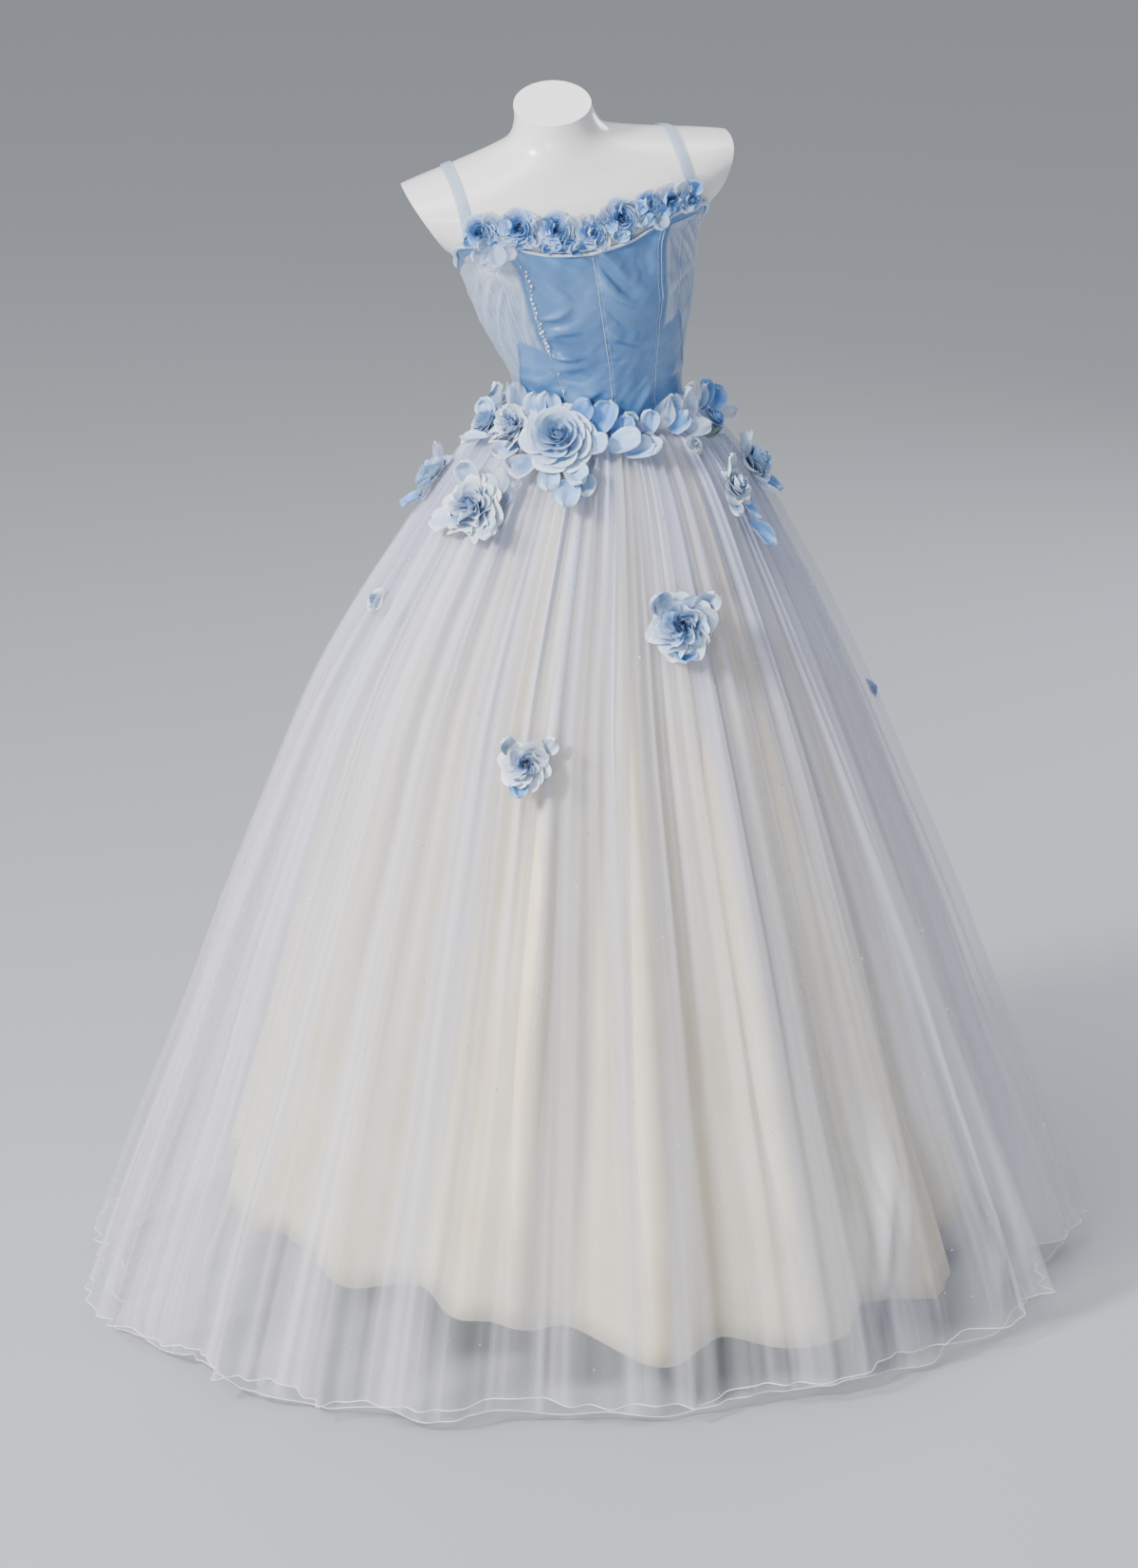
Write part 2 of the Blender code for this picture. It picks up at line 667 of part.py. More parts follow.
def skirt_point(layer, angle, share, out=0.0):
    """Point of a layer at a share of the fall from the waist seam to its hem."""
    turn = radians(angle)
    column = angle * layer.columns / 360.0
    gather = layer.wave_seam * (0.5 + 0.5 * cos(pi * column))
    seam = body_point(angle, seam_up(angle), layer.start + gather + out)
    if share == 0.0:
        return seam
    hem = read_table(layer.hem, angle_from(angle, 0.0), "height")
    height = lerp(seam.z, hem, share)
    side = read_table(SKIRT_RINGS, height, "side")
    depth = read_table(SKIRT_RINGS, height, "front" if cos(turn) > 0.0 else "back")
    rise = out + gather_rise(layer, angle, share) + fold_rise(angle, share)
    rise -= layer_inset(layer, angle, share)
    waist = torso_centre(0.0)
    shift = smooth_share(share / CENTRE_SHARE)
    centre_x = lerp(waist.x, HEM_CENTRE[0], shift)
    centre_y = lerp(waist.y, HEM_CENTRE[1], shift)
    return Vector((centre_x + (side + rise) * sin(turn), centre_y - (depth + rise) * cos(turn), height))


def add_skirt():
    """Gathered layers in a front and a back half, seamed at the sides."""
    finishes = {
        "skirt_lining": fabric("lining_satin", (0.86, 0.83, 0.76), 0.45),
        "tulle_under": fabric("tulle_net", (0.74, 0.74, 0.80), 0.6),
        "tulle_top": fabric("tulle_net", (0.74, 0.74, 0.80), 0.6),
    }
    for layer in SKIRT_LAYERS:
        for half, start in (("front", -90.0), ("back", 90.0)):
            angles = spaced(start, start + 180.0, layer.columns // 2)
            grids = [
                [[skirt_point(layer, angle, share, out) for angle in angles] for share in layer.shares[::-1]]
                for out in (0.0, layer.wall)
            ]
            add_wall(f"{layer.name}_{half}", grids[0], grids[1], finishes[layer.name])


# Flowers

def facing_frame(across, upward):
    """Rotation whose Z points out of the cloth and whose Y runs up it."""
    facing = across.cross(upward).normalized()
    upward = facing.cross(across).normalized()
    return Matrix((across.normalized(), upward, facing)).transposed()


def neckline_place(bloom):
    up = neckline_up(bloom.angle) + bloom.at
    anchor = body_point(bloom.angle, up)
    across = body_point(bloom.angle + 2.0, up) - body_point(bloom.angle - 2.0, up)
    upward = body_point(bloom.angle, up + 0.01) - body_point(bloom.angle, up - 0.01)
    return anchor, facing_frame(across, upward)


def skirt_place(bloom):
    """Anchor on the gather crest at the bloom's angle, between two of the layer's rings."""
    crests = [skirt_point(TOP_LAYER, bloom.angle, share, TOP_LAYER.wall) for share in TOP_LAYER.shares]
    falls = [crests[0].z - crest.z for crest in crests]
    i = max(k for k in range(len(falls) - 1) if falls[k] <= bloom.at)
    anchor = crests[i].lerp(crests[i + 1], (bloom.at - falls[i]) / (falls[i + 1] - falls[i]))
    upward = crests[i] - crests[i + 1]
    share = TOP_LAYER.shares[i + 1]
    across = skirt_point(TOP_LAYER, bloom.angle + 5.0, share) - skirt_point(
        TOP_LAYER, bloom.angle - 5.0, share
    )
    return anchor, facing_frame(across, upward)


def add_rose(bloom, anchor, turn, material):
    """Fabric rose as one closed body: stem, open outer petals, inner petals and heart."""
    rose = bmesh.new()
    count = 2 * bloom.petals
    rings = []
    for ring in ROSE_RINGS:
        row = []
        for k in range(count):
            lobe = 1.0 + LOBE_DEPTH * ring.lobe * (1.0 if k % 2 else -1.0)
            around = 2.0 * pi * k / count
            reach = bloom.size * ring.reach * lobe
            rise = bloom.size * ring.rise
            row.append(rose.verts.new(anchor + turn @ Vector((reach * cos(around), reach * sin(around), rise))))
        rings.append(row)
    back = rose.verts.new(anchor)
    heart = rose.verts.new(anchor + turn @ Vector((0.0, 0.0, bloom.size * ROSE_HEART)))
    for k in range(count):
        n = (k + 1) % count
        rose.faces.new((back, rings[0][n], rings[0][k]))
        rose.faces.new((heart, rings[-1][k], rings[-1][n]))
        for lower, upper in zip(rings, rings[1:]):
            rose.faces.new((lower[k], lower[n], upper[n], upper[k]))
    return add_object(bloom.name, rose, material)


def add_petal(bloom, anchor, turn, material):
    """One cupped petal that grows up from its anchor."""
    petal = bmesh.new()
    outline = []
    for k in range(PETAL_POINTS):
        around = 2.0 * pi * k / PETAL_POINTS
        along = bloom.size * (1.0 - cos(around)) / 2.0
        half = PETAL_HALF_WIDTH * bloom.size * sin(around) * (0.875 - 0.125 * cos(around))
        outline.append(Vector((half, along, PETAL_CUP * along**2 / bloom.size)))
    middle = Vector((0.0, 0.55 * bloom.size, 0.02 * bloom.size))
    wall = Vector((0.0, 0.0, PETAL_WALL))
    rims = [[petal.verts.new(anchor + turn @ (point + shift)) for point in outline] for shift in (0 * wall, wall)]
    cores = [petal.verts.new(anchor + turn @ (middle + shift)) for shift in (0 * wall, wall)]
    for k in range(PETAL_POINTS):
        n = (k + 1) % PETAL_POINTS
        petal.faces.new((rims[0][k], rims[0][n], rims[1][n], rims[1][k]))
        for rim, core in zip(rims, cores):
            petal.faces.new((core, rim[k], rim[n]))
    return add_object(bloom.name, petal, material)


def add_blooms():
    finishes = {
        "blue": fabric("rose_blue", (0.30, 0.50, 0.78), 0.6),
        "pale": fabric("rose_pale", (0.66, 0.78, 0.92), 0.6),
        "white": fabric("rose_white", (0.84, 0.87, 0.92), 0.6),
        "sheer": fabric("petal_organza", (0.50, 0.58, 0.70), 0.5),
        "leaf": fabric("leaf_green", (0.08, 0.16, 0.12), 0.5),
    }
    gardens = ((NECKLINE_BLOOMS, neckline_place), (SKIRT_BLOOMS, skirt_place))
    for blooms, place in gardens:
        for bloom in blooms:
            anchor, facing = place(bloom)
            tip = Matrix.Rotation(radians(bloom.tip), 3, "X")
            turn = Matrix.Rotation(radians(bloom.turn), 3, "Z")
            anchor = anchor + facing.col[2] * (SEAM_GAP + bloom.lift)
            if bloom.petals > 1:
                add_rose(bloom, anchor, facing @ tip @ turn, finishes[bloom.kind])
            else:
                add_petal(bloom, anchor, facing @ turn @ tip, finishes[bloom.kind])


def main():
    for old in list(bpy.data.objects):
        bpy.data.objects.remove(old, do_unlink=True)
    add_dress_form()
    add_bodice()
    add_side_drapes()
    add_binding()
    add_straps()
    add_skirt()
    add_blooms()


main()
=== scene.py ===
"""Looks of a prom dress on a limbless dress form: satin bodice, gathered tulle, fabric roses.

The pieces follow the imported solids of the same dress. Metres, +Z up, the dress faces -Y.
Angles are degrees round the body from the front centre, positive to the wearer's left.
Up is a height along the leaning torso from the waist. A share runs from 0 to 1 along a
piece: up a bodice panel, and down the skirt from the waist seam to the hem.
"""
import json
import logging
import math
from dataclasses import dataclass, field
from enum import Enum
from typing import Iterable, Optional, Sequence, Union

import bmesh
import bpy
import numpy as np
from mathutils import Matrix, Vector

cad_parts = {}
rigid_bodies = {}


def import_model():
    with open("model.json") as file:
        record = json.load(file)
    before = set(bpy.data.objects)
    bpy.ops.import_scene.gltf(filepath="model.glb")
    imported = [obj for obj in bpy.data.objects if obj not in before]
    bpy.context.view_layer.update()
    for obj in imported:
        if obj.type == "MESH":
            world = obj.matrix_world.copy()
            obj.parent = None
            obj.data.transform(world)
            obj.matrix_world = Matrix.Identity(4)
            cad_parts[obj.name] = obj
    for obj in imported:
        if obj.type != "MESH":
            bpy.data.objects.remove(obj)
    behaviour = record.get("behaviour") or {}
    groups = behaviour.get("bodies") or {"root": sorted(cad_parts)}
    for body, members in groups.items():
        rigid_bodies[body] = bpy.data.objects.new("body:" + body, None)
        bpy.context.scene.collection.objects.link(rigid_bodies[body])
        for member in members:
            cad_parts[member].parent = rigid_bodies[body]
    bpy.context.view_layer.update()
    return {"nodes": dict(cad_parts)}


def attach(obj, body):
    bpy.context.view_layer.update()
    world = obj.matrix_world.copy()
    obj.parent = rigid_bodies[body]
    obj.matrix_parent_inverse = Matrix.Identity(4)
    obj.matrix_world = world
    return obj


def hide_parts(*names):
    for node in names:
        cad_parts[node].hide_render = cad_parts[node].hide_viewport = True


LOG = logging.getLogger("prom_dress")
ROOT = "root"
PHOTO_SIZE = (1200, 1653)
SENSOR = 36.0
MILLIMETRE = 0.001
FULL_TURN = 360.0

# Metres from the top to the edge over which the cloth's tint changes
SKIRT_FALL = 1.13
DRAPE_DROP = 0.25
STRAP_LENGTH = 0.30

Array = np.ndarray
Tree = bpy.types.NodeTree
Node = bpy.types.Node
Socket = bpy.types.NodeSocket
Material = bpy.types.Material
Piece = bpy.types.Object
Feed = Union[Socket, float]

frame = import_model()


# Curves and tables

class SmoothTable:
    """Smooth curve through the rows of a table that never overshoots them."""

    def __init__(self, places: Sequence[float], values: Sequence[float]) -> None:
        """Works out the slope at each row.

        Args:
            places: Where the rows stand, ascending.
            values: The value in each row.
        """
        self.places = np.array(places, float)
        self.values = np.array(values, float)
        steps = np.diff(self.values) / np.diff(self.places)
        before, after = steps[:-1], steps[1:]
        same_way = before * after > 0.0
        total = np.where(same_way, before + after, 1.0)
        inner = np.where(same_way, 2.0 * before * after / total, 0.0)
        self.slopes = np.concatenate([steps[:1], inner, steps[-1:]])

    def at(self, place: Array) -> Array:
        """Value of the curve at each place, held level past the first and last rows."""
        place = np.clip(np.asarray(place, float), self.places[0], self.places[-1])
        row = np.searchsorted(self.places, place, side="right") - 1
        row = np.clip(row, 0, len(self.places) - 2)
        span = self.places[row + 1] - self.places[row]
        t = (place - self.places[row]) / span
        return (
            (2 * t**3 - 3 * t**2 + 1) * self.values[row]
            + (t**3 - 2 * t**2 + t) * span * self.slopes[row]
            + (3 * t**2 - 2 * t**3) * self.values[row + 1]
            + (t**3 - t**2) * span * self.slopes[row + 1]
        )


def angle_from(angle: Array, other: float) -> Array:
    """Signed angle from another angle, between -180 and 180 degrees."""
    return (angle - other + 180.0) % 360.0 - 180.0


def smooth_share(share: Array) -> Array:
    """Share eased in and out between 0 and 1."""
    share = np.clip(share, 0.0, 1.0)
    return share * share * (3.0 - 2.0 * share)


def lerp(start: Array, end: Array, share: Array) -> Array:
    """Value between two values at a share."""
    return start + (end - start) * share


def stacked(x: Array, y: Array, z: Array) -> Array:
    """Points from coordinates that broadcast together."""
    return np.stack(np.broadcast_arrays(x, y, z), axis=-1)


def bell(offset: Array, width: float) -> Array:
    """Bell curve: 1 where the offset is 0, and almost 0 two widths away."""
    return np.exp(-((offset / width) ** 2))


def no_rise(first: Array, second: Array) -> Array:
    """Zeros in the shape that two arrays broadcast to."""
    return np.zeros(np.broadcast(first, second).shape)


def line_length(points: Array) -> float:
    """Length of the line through a row of points."""
    return float(np.linalg.norm(np.diff(points, axis=0), axis=-1).sum())


def section_tables(rows: Sequence[Sequence[float]]) -> dict[str, SmoothTable]:
    """Curves of half width, front depth and back depth over the first column of a table."""
    places, *columns = zip(*rows)
    return {label: SmoothTable(places, column) for label, column in zip(("side", "front", "back"), columns)}


# Materials

def linear(code: str) -> tuple[float, float, float, float]:
    """Linear colour of an sRGB hex code such as #a1b2c3."""
    parts = [int(code[k : k + 2], 16) / 255.0 for k in (1, 3, 5)]
    flat = [c / 12.92 if c <= 0.04045 else ((c + 0.055) / 1.055) ** 2.4 for c in parts]
    return (flat[0], flat[1], flat[2], 1.0)


def add_node(
    tree: Tree,
    kind: str,
    settings: Optional[dict] = None,
    feeds: Optional[dict] = None,
) -> Node:
    """Adds one node.

    Args:
        tree: The tree that gets the node.
        kind: The node's type name in Blender.
        settings: Values of the node's own properties.
        feeds: A value or another node's output for each input, by its name or number.

    Returns:
        The new node.
    """
    node = tree.nodes.new(kind)
    for name, value in (settings or {}).items():
        setattr(node, name, value)
    for place, value in (feeds or {}).items():
        socket = node.inputs[place]
        if isinstance(value, Socket):
            tree.links.new(value, socket)
        else:
            socket.default_value = value
    return node


def ramp(tree: Tree, fac: Socket, stops: Sequence[tuple[float, str]]) -> Socket:
    """Colour ramp with the given stops.

    Args:
        tree: The material's tree.
        fac: What runs along the ramp.
        stops: Position and sRGB hex colour of each stop.

    Returns:
        The ramp's colour output.
    """
    node = add_node(tree, "ShaderNodeValToRGB", feeds={"Fac": fac})
    band = node.color_ramp
    while len(band.elements) < len(stops):
        band.elements.new(0.5)
    for element, (place, code) in zip(band.elements, stops):
        element.position = place
        element.color = linear(code)
    return node.outputs["Color"]


def math_node(
    tree: Tree, operation: str, first: Feed, second: Feed = 0.0, clamp: bool = False
) -> Socket:
    """Output of one arithmetic step on two sockets or numbers."""
    settings = {"operation": operation, "use_clamp": clamp}
    return add_node(tree, "ShaderNodeMath", settings, {0: first, 1: second}).outputs[0]


def object_place(tree: Tree) -> Socket:
    """The piece's own coordinates, in metres."""
    return add_node(tree, "ShaderNodeTexCoord").outputs["Object"]


def attribute(tree: Tree, name: str) -> Socket:
    """A vector that each vertex of the mesh carries."""
    return add_node(tree, "ShaderNodeAttribute", {"attribute_name": name}).outputs["Vector"]


def stretched(tree: Tree, place: Socket, scale: tuple[float, float, float]) -> Socket:
    """Coordinates scaled along each axis."""
    return add_node(tree, "ShaderNodeMapping", feeds={"Vector": place, "Scale": scale}).outputs["Vector"]


def noise(tree: Tree, place: Socket, scale: float, detail: float, kind: str = "3D") -> Socket:
    """Noise over coordinates, with its features per unit of them."""
    feeds = {"Vector": place, "Scale": scale, "Detail": detail}
    return add_node(tree, "ShaderNodeTexNoise", {"noise_dimensions": kind}, feeds).outputs["Fac"]


def remap(
    tree: Tree,
    value: Socket,
    low: float,
    high: float,
    start: float = 0.0,
    end: float = 1.0,
) -> Socket:
    """Value taken from the range start to end into the range low to high."""
    feeds = {"Value": value, "From Min": start, "From Max": end, "To Min": low, "To Max": high}
    return add_node(tree, "ShaderNodeMapRange", feeds=feeds).outputs["Result"]


def bump(tree: Tree, shader: Node, height: Socket, distance: float, strength: float) -> None:
    """Bump on a shader from a height, with its depth in metres."""
    feeds = {"Height": height, "Distance": distance, "Strength": strength}
    normal = add_node(tree, "ShaderNodeBump", feeds=feeds).outputs["Normal"]
    tree.links.new(normal, shader.inputs["Normal"])


@dataclass(frozen=True)
class Finish:
    """What every finish shares: its name, main colour and surface values."""

    name: str
    colour: str
    roughness: float
    metallic: float = 0.0
    sheen: float = 0.0

    def begin(self, extra: Optional[dict[str, float]] = None) -> tuple[Material, Tree, Node]:
        """New material with its Principled shader set.

        Args:
            extra: Values of further inputs of the shader, by name.

        Returns:
            The material, its tree and its shader.
        """
        material = bpy.data.materials.new(self.name)
        material.use_nodes = True
        tree = material.node_tree
        shader = tree.nodes["Principled BSDF"]
        shader.inputs["Base Color"].default_value = linear(self.colour)
        values = {"Roughness": self.roughness, "Metallic": self.metallic, "Sheen Weight": self.sheen}
        for label, value in {**values, **(extra or {})}.items():
            shader.inputs[label].default_value = value
        return material, tree, shader

    def vary_roughness(self, tree: Tree, shader: Node, fac: Socket, less: float, more: float) -> None:
        """Roughness that runs with a noise, from less than the finish's own to more than it."""
        rough = remap(tree, fac, self.roughness - less, self.roughness + more)
        tree.links.new(rough, shader.inputs["Roughness"])


@dataclass(frozen=True)
class GlossLacquer(Finish):
    """Sprayed lacquer on a glass-fibre form: bright soft highlights with a faint orange peel."""

    def build(self) -> Material:
        """The material, with its peel at 4 mm and a slow change of gloss."""
        material, tree, shader = self.begin({"Coat Weight": 0.35, "Coat Roughness": 0.12})
        place = object_place(tree)
        self.vary_roughness(tree, shader, noise(tree, place, 9.0, 3.0), 0.05, 0.09)
        bump(tree, shader, noise(tree, place, 240.0, 1.0), 0.0004, 0.06)
        return material


@dataclass(frozen=True)
class BrushedSteel(Finish):
    """Brushed stainless steel: grey metal whose fine lines spread the highlight."""

    def build(self) -> Material:
        """The material, with brush lines about 1 mm apart, coarse enough to show."""
        material, tree, shader = self.begin()
        lines = stretched(tree, object_place(tree), (30.0, 30.0, 900.0))
        self.vary_roughness(tree, shader, noise(tree, lines, 1.0, 2.0), 0.08, 0.14)
        return material


@dataclass(frozen=True)
class Satin(Finish):
    """Polyester satin: smooth floats give a broad sliding highlight and deep soft shade."""

    shade: str = "#000000"
    light: str = "#ffffff"

    def build(self) -> Material:
        """The material: cloudy dye, threads drawn at 0.8 mm, and faint pulled streaks."""
        gloss = {"Specular IOR Level": 0.95, "Coat Weight": 0.25, "Coat Roughness": 0.3}
        material, tree, shader = self.begin(gloss)
        cloud = noise(tree, object_place(tree), 14.0, 4.0)
        colour = ramp(tree, cloud, ((0.25, self.shade), (0.5, self.colour), (0.78, self.light)))
        tree.links.new(colour, shader.inputs["Base Color"])
        weave = noise(tree, stretched(tree, attribute(tree, "cloth"), (1250.0, 90.0, 1.0)), 1.0, 2.0)
        self.vary_roughness(tree, shader, weave, 0.05, 0.10)
        bump(tree, shader, weave, 0.0003, 0.12)
        return material


@dataclass(frozen=True)
class SheerCloth(Finish):
    """Net, organza or chiffon: threads so open that what lies behind shows through.

    The cloth attribute gives metres across, metres down and how many open layers lie together.
    The length is the cloth's own from its top to its edge, over which its tint changes.
    """

    cover: float = 0.2
    thread_rate: float = 260.0
    thread_depth: float = 0.35
    edge_colour: str = "#ffffff"
    tint_top: str = "#ffffff"
    length: float = 1.0

    def build(self) -> Material:
        """The material: cover grows where the cloth is gathered, with threads drawn at 4 mm."""
        material, tree, shader = self.begin()
        cloth = attribute(tree, "cloth")
        parts = add_node(tree, "ShaderNodeSeparateXYZ", feeds={"Vector": cloth})
        threads = self.cover
        if self.thread_depth > 0.0:
            drawn = noise(tree, stretched(tree, cloth, (self.thread_rate, 2.2, 0.0)), 1.0, 1.0, "2D")
            low, high = (self.cover * (1.0 + way * self.thread_depth) for way in (-1.0, 1.0))
            threads = remap(tree, drawn, low, high, 0.3, 0.7)
        clear = math_node(tree, "POWER", math_node(tree, "SUBTRACT", 1.0, threads), parts.outputs["Z"])
        tree.links.new(math_node(tree, "SUBTRACT", 1.0, clear, clamp=True), shader.inputs["Alpha"])
        fall = math_node(tree, "DIVIDE", parts.outputs["Y"], self.length)
        colour = ramp(tree, fall, ((0.0, self.tint_top), (0.35, self.colour), (1.0, self.edge_colour)))
        tree.links.new(colour, shader.inputs["Base Color"])
        return material


@dataclass(frozen=True)
class PetalCloth(Finish):
    """Petal fabric with faint veins: deep at the heart, partly dye and partly painted shade, and pale at the
    cut edge, partly its own and partly a painted highlight.
    """

    sheen: float = 0.3
    heart: str = "#2f66ad"
    edge: str = "#dfe9f7"
    cover: float = 1.0
    heart_reach: float = 0.35

    def build(self) -> Material:
        """The material: colour pales along each petal and towards the outer petals, partly dye and partly
        painted shade at the heart and a painted highlight at the rim.
        """
        material, tree, shader = self.begin()
        parts = add_node(tree, "ShaderNodeSeparateXYZ", feeds={"Vector": attribute(tree, "petal")})
        along, across, ring = (parts.outputs[k] for k in ("X", "Y", "Z"))
        # Painted highlight on each petal's rim and painted shade on the inner rings and the heart, then
        # random dye blotches
        edge = math_node(tree, "MAXIMUM", along, math_node(tree, "ABSOLUTE", across))
        rim = math_node(tree, "MULTIPLY", math_node(tree, "POWER", edge, 5.0), 0.42)
        depth = math_node(tree, "ADD", rim, math_node(tree, "MULTIPLY", ring, 0.58))
        blotch = math_node(tree, "SUBTRACT", noise(tree, object_place(tree), 85.0, 3.0), 0.5)
        uneven = math_node(tree, "ADD", depth, math_node(tree, "MULTIPLY", blotch, 0.55))
        stops = ((0.02, self.heart), (self.heart_reach, self.colour), (0.95, self.edge))
        tree.links.new(ramp(tree, uneven, stops), shader.inputs["Base Color"])
        feeds = {"X": math_node(tree, "MULTIPLY", across, 9.0), "Y": along}
        veins = add_node(tree, "ShaderNodeCombineXYZ", feeds=feeds).outputs["Vector"]
        crinkle = noise(tree, veins, 2.0, 3.0)
        bump(tree, shader, crinkle, 0.0008, 0.5)
        if self.cover < 1.0:
            cover = remap(tree, crinkle, self.cover - 0.15, min(self.cover + 0.25, 1.0))
            tree.links.new(cover, shader.inputs["Alpha"])
        return material


@dataclass(frozen=True)
class CutStone(Finish):
    """Small cut glass and pearl beads: hard bright points of light."""

    def build(self) -> Material:
        """The material, with a slight change of tone from stone to stone."""
        material, tree, shader = self.begin({"Coat Weight": 0.8})
        tone = noise(tree, object_place(tree), 300.0, 0.0)
        tree.links.new(ramp(tree, tone, ((0.3, "#b9c4d4"), (0.6, self.colour))), shader.inputs["Base Color"])
        return material


@dataclass(frozen=True)
class SewingThread(Finish):
    """Twisted sewing thread: dull, with a fine ply."""

    def build(self) -> Material:
        """The material, with its ply at 0.5 mm."""
        material, tree, shader = self.begin()
        bump(tree, shader, noise(tree, object_place(tree), 2000.0, 1.0), 0.0002, 0.3)
        return material


@dataclass(frozen=True)
class StudioPaint(Finish):
    """Matt paint of a studio floor."""

    def build(self) -> Material:
        """The material, with a faint slow unevenness."""
        material, tree, shader = self.begin()
        self.vary_roughness(tree, shader, noise(tree, object_place(tree), 1.3, 2.0), 0.05, 0.05)
        return material


# Heart colours are partly painted shade deep in each rose; edge colours are partly a painted highlight on
# the rims
PETAL_CLOTHS = {
    "blue": PetalCloth(
        "petal_blue_chiffon", "#6da4e6", 0.55, heart="#2b6cc6", edge="#c3dbf8", heart_reach=0.48
    ),
    "pale": PetalCloth(
        "petal_pale_chiffon", "#a6c9f3", 0.55, heart="#6ea4e4", edge="#dbe9fb", heart_reach=0.45
    ),
    "white": PetalCloth(
        "petal_white_chiffon", "#c3daf7", 0.55, heart="#3a7fd8", edge="#f2f7fe", heart_reach=0.42
    ),
    "sheer": PetalCloth("petal_sheer_organza", "#a9c2e6", 0.45, heart="#86a9d8", edge="#dde9f8", cover=0.5),
    "leaf": PetalCloth(
        "leaf_green_organza", "#35544e", 0.5, sheen=0.2, heart="#1c3a36", edge="#6d8a86", cover=0.85
    ),
}


class Finishes:
    """Every finish of the dress, its form and the studio, each made once."""

    def __init__(self) -> None:
        """Builds the materials."""
        self.lacquer = GlossLacquer("form_gloss_lacquer", "#f1f1f2", 0.26).build()
        self.steel = BrushedSteel("stand_brushed_steel", "#c3c6ca", 0.30, metallic=1.0).build()
        self.satin = Satin(
            "bodice_polyester_satin", "#4f80bb", 0.27, shade="#3f6da9", light="#6693cb"
        ).build()
        self.piping = Satin(
            "piping_pale_satin", "#bdd4f3", 0.35, sheen=0.1, shade="#aac7ee", light="#d0e0f7"
        ).build()
        self.lining = Satin(
            "lining_ivory_satin", "#f1e5c8", 0.5, sheen=0.1, shade="#eadbb8", light="#f6eed9"
        ).build()
        self.organza = SheerCloth(
            "drape_organza", "#c6d8f2", 0.38, sheen=0.3, cover=0.42, thread_rate=500.0, thread_depth=0.25,
            edge_colour="#b4cbec", tint_top="#dfe9fa", length=DRAPE_DROP,
        ).build()
        self.ribbon = SheerCloth(
            "strap_organza_ribbon", "#b3ccf0", 0.45, sheen=0.3, cover=0.42, thread_rate=800.0,
            thread_depth=0.2, edge_colour="#b3ccf0", tint_top="#b3ccf0", length=STRAP_LENGTH,
        ).build()
        self.net = SheerCloth(
            "skirt_tulle_net", "#e1e3f6", 0.6, cover=0.17, thread_depth=0.0,
            edge_colour="#eff1fa", tint_top="#c6d2f3", length=SKIRT_FALL,
        ).build()
        self.hem_roll = SewingThread("tulle_rolled_edge", "#f2f5fb", 0.5, sheen=0.3).build()
        self.petals = {key: cloth.build() for key, cloth in PETAL_CLOTHS.items()}
        self.stone = CutStone("trim_cut_glass", "#fbfcff", 0.07).build()
        self.thread = SewingThread("blue_sewing_thread", "#a9c4e6", 0.6).build()
        self.glitter = CutStone("tulle_glitter_dot", "#ffffff", 0.12, metallic=0.9).build()
        self.floor = StudioPaint("studio_floor_paint", "#adb1b7", 0.75).build()


# Meshes

def new_object(name: str, data: bpy.types.ID) -> Piece:
    """Object for some data, linked into the scene at the origin."""
    item = bpy.data.objects.new(name, data)
    bpy.context.scene.collection.objects.link(item)
    return item


def mesh_piece(
    name: str,
    points: Array,
    faces: Sequence[Sequence[int]],
    material: Material,
    attributes: Optional[dict[str, Array]] = None,
) -> Piece:
    """Object from points and faces, placed at the origin.

    Args:
        name: The piece's name.
        points: One row of coordinates for each vertex.
        faces: Vertex numbers of each face.
        material: Its only material.
        attributes: Vectors for each vertex, by attribute name.

    Returns:
        The new object.
    """
    mesh = bpy.data.meshes.new(name)
    mesh.from_pydata(points.reshape(-1, 3).tolist(), [], [list(face) for face in faces])
    for label, values in (attributes or {}).items():
        layer = mesh.attributes.new(label, "FLOAT_VECTOR", "POINT")
        layer.data.foreach_set("vector", np.ascontiguousarray(values, np.float32).ravel())
    mesh.materials.append(material)
    mesh.shade_smooth()
    mesh.update()
    return new_object(name, mesh)


def grid_faces(rows: int, columns: int, first: int = 0, flip: bool = False) -> list[tuple[int, ...]]:
    """Quads of a grid of vertices, whose normals point along columns cross rows unless flipped."""
    faces = []
    for r in range(rows - 1):
        for c in range(columns - 1):
            a = first + r * columns + c
            quad = (a, a + 1, a + columns + 1, a + columns)
            faces.append(quad[::-1] if flip else quad)
    return faces


def sheet_piece(name: str, grid: Array, material: Material, cloth: Array) -> Piece:
    """Single-skin cloth from a grid of points, with its cloth coordinates."""
    rows, columns = grid.shape[:2]
    return mesh_piece(name, grid, grid_faces(rows, columns), material, {"cloth": cloth.reshape(-1, 3)})


def wall_piece(name: str, inner: Array, outer: Array, material: Material, cloth: Array) -> Piece:
    """Closed thin wall between an inner and an outer grid of points.

    Args:
        name: The piece's name.
        inner: Points of the inside, rows by columns.
        outer: Points of the right side, in the same order.
        material: Its material.
        cloth: Cloth coordinates of each grid point.

    Returns:
        The wall, with a rim all round.
    """
    rows, columns = inner.shape[:2]
    count = rows * columns
    faces = grid_faces(rows, columns, count) + grid_faces(rows, columns, 0, flip=True)
    bottom = list(range(columns))
    right = [r * columns + columns - 1 for r in range(rows)]
    top = [(rows - 1) * columns + c for c in range(columns - 1, -1, -1)]
    left = [r * columns for r in range(rows - 1, -1, -1)]
    loop = bottom[:-1] + right[:-1] + top[:-1] + left[:-1]
    for here, after in zip(loop, loop[1:] + loop[:1]):
        faces.append((here, after, after + count, here + count))
    both = np.concatenate([cloth.reshape(-1, 3)] * 2)
    points = np.concatenate([inner.reshape(-1, 3), outer.reshape(-1, 3)])
    return mesh_piece(name, points, faces, material, {"cloth": both})


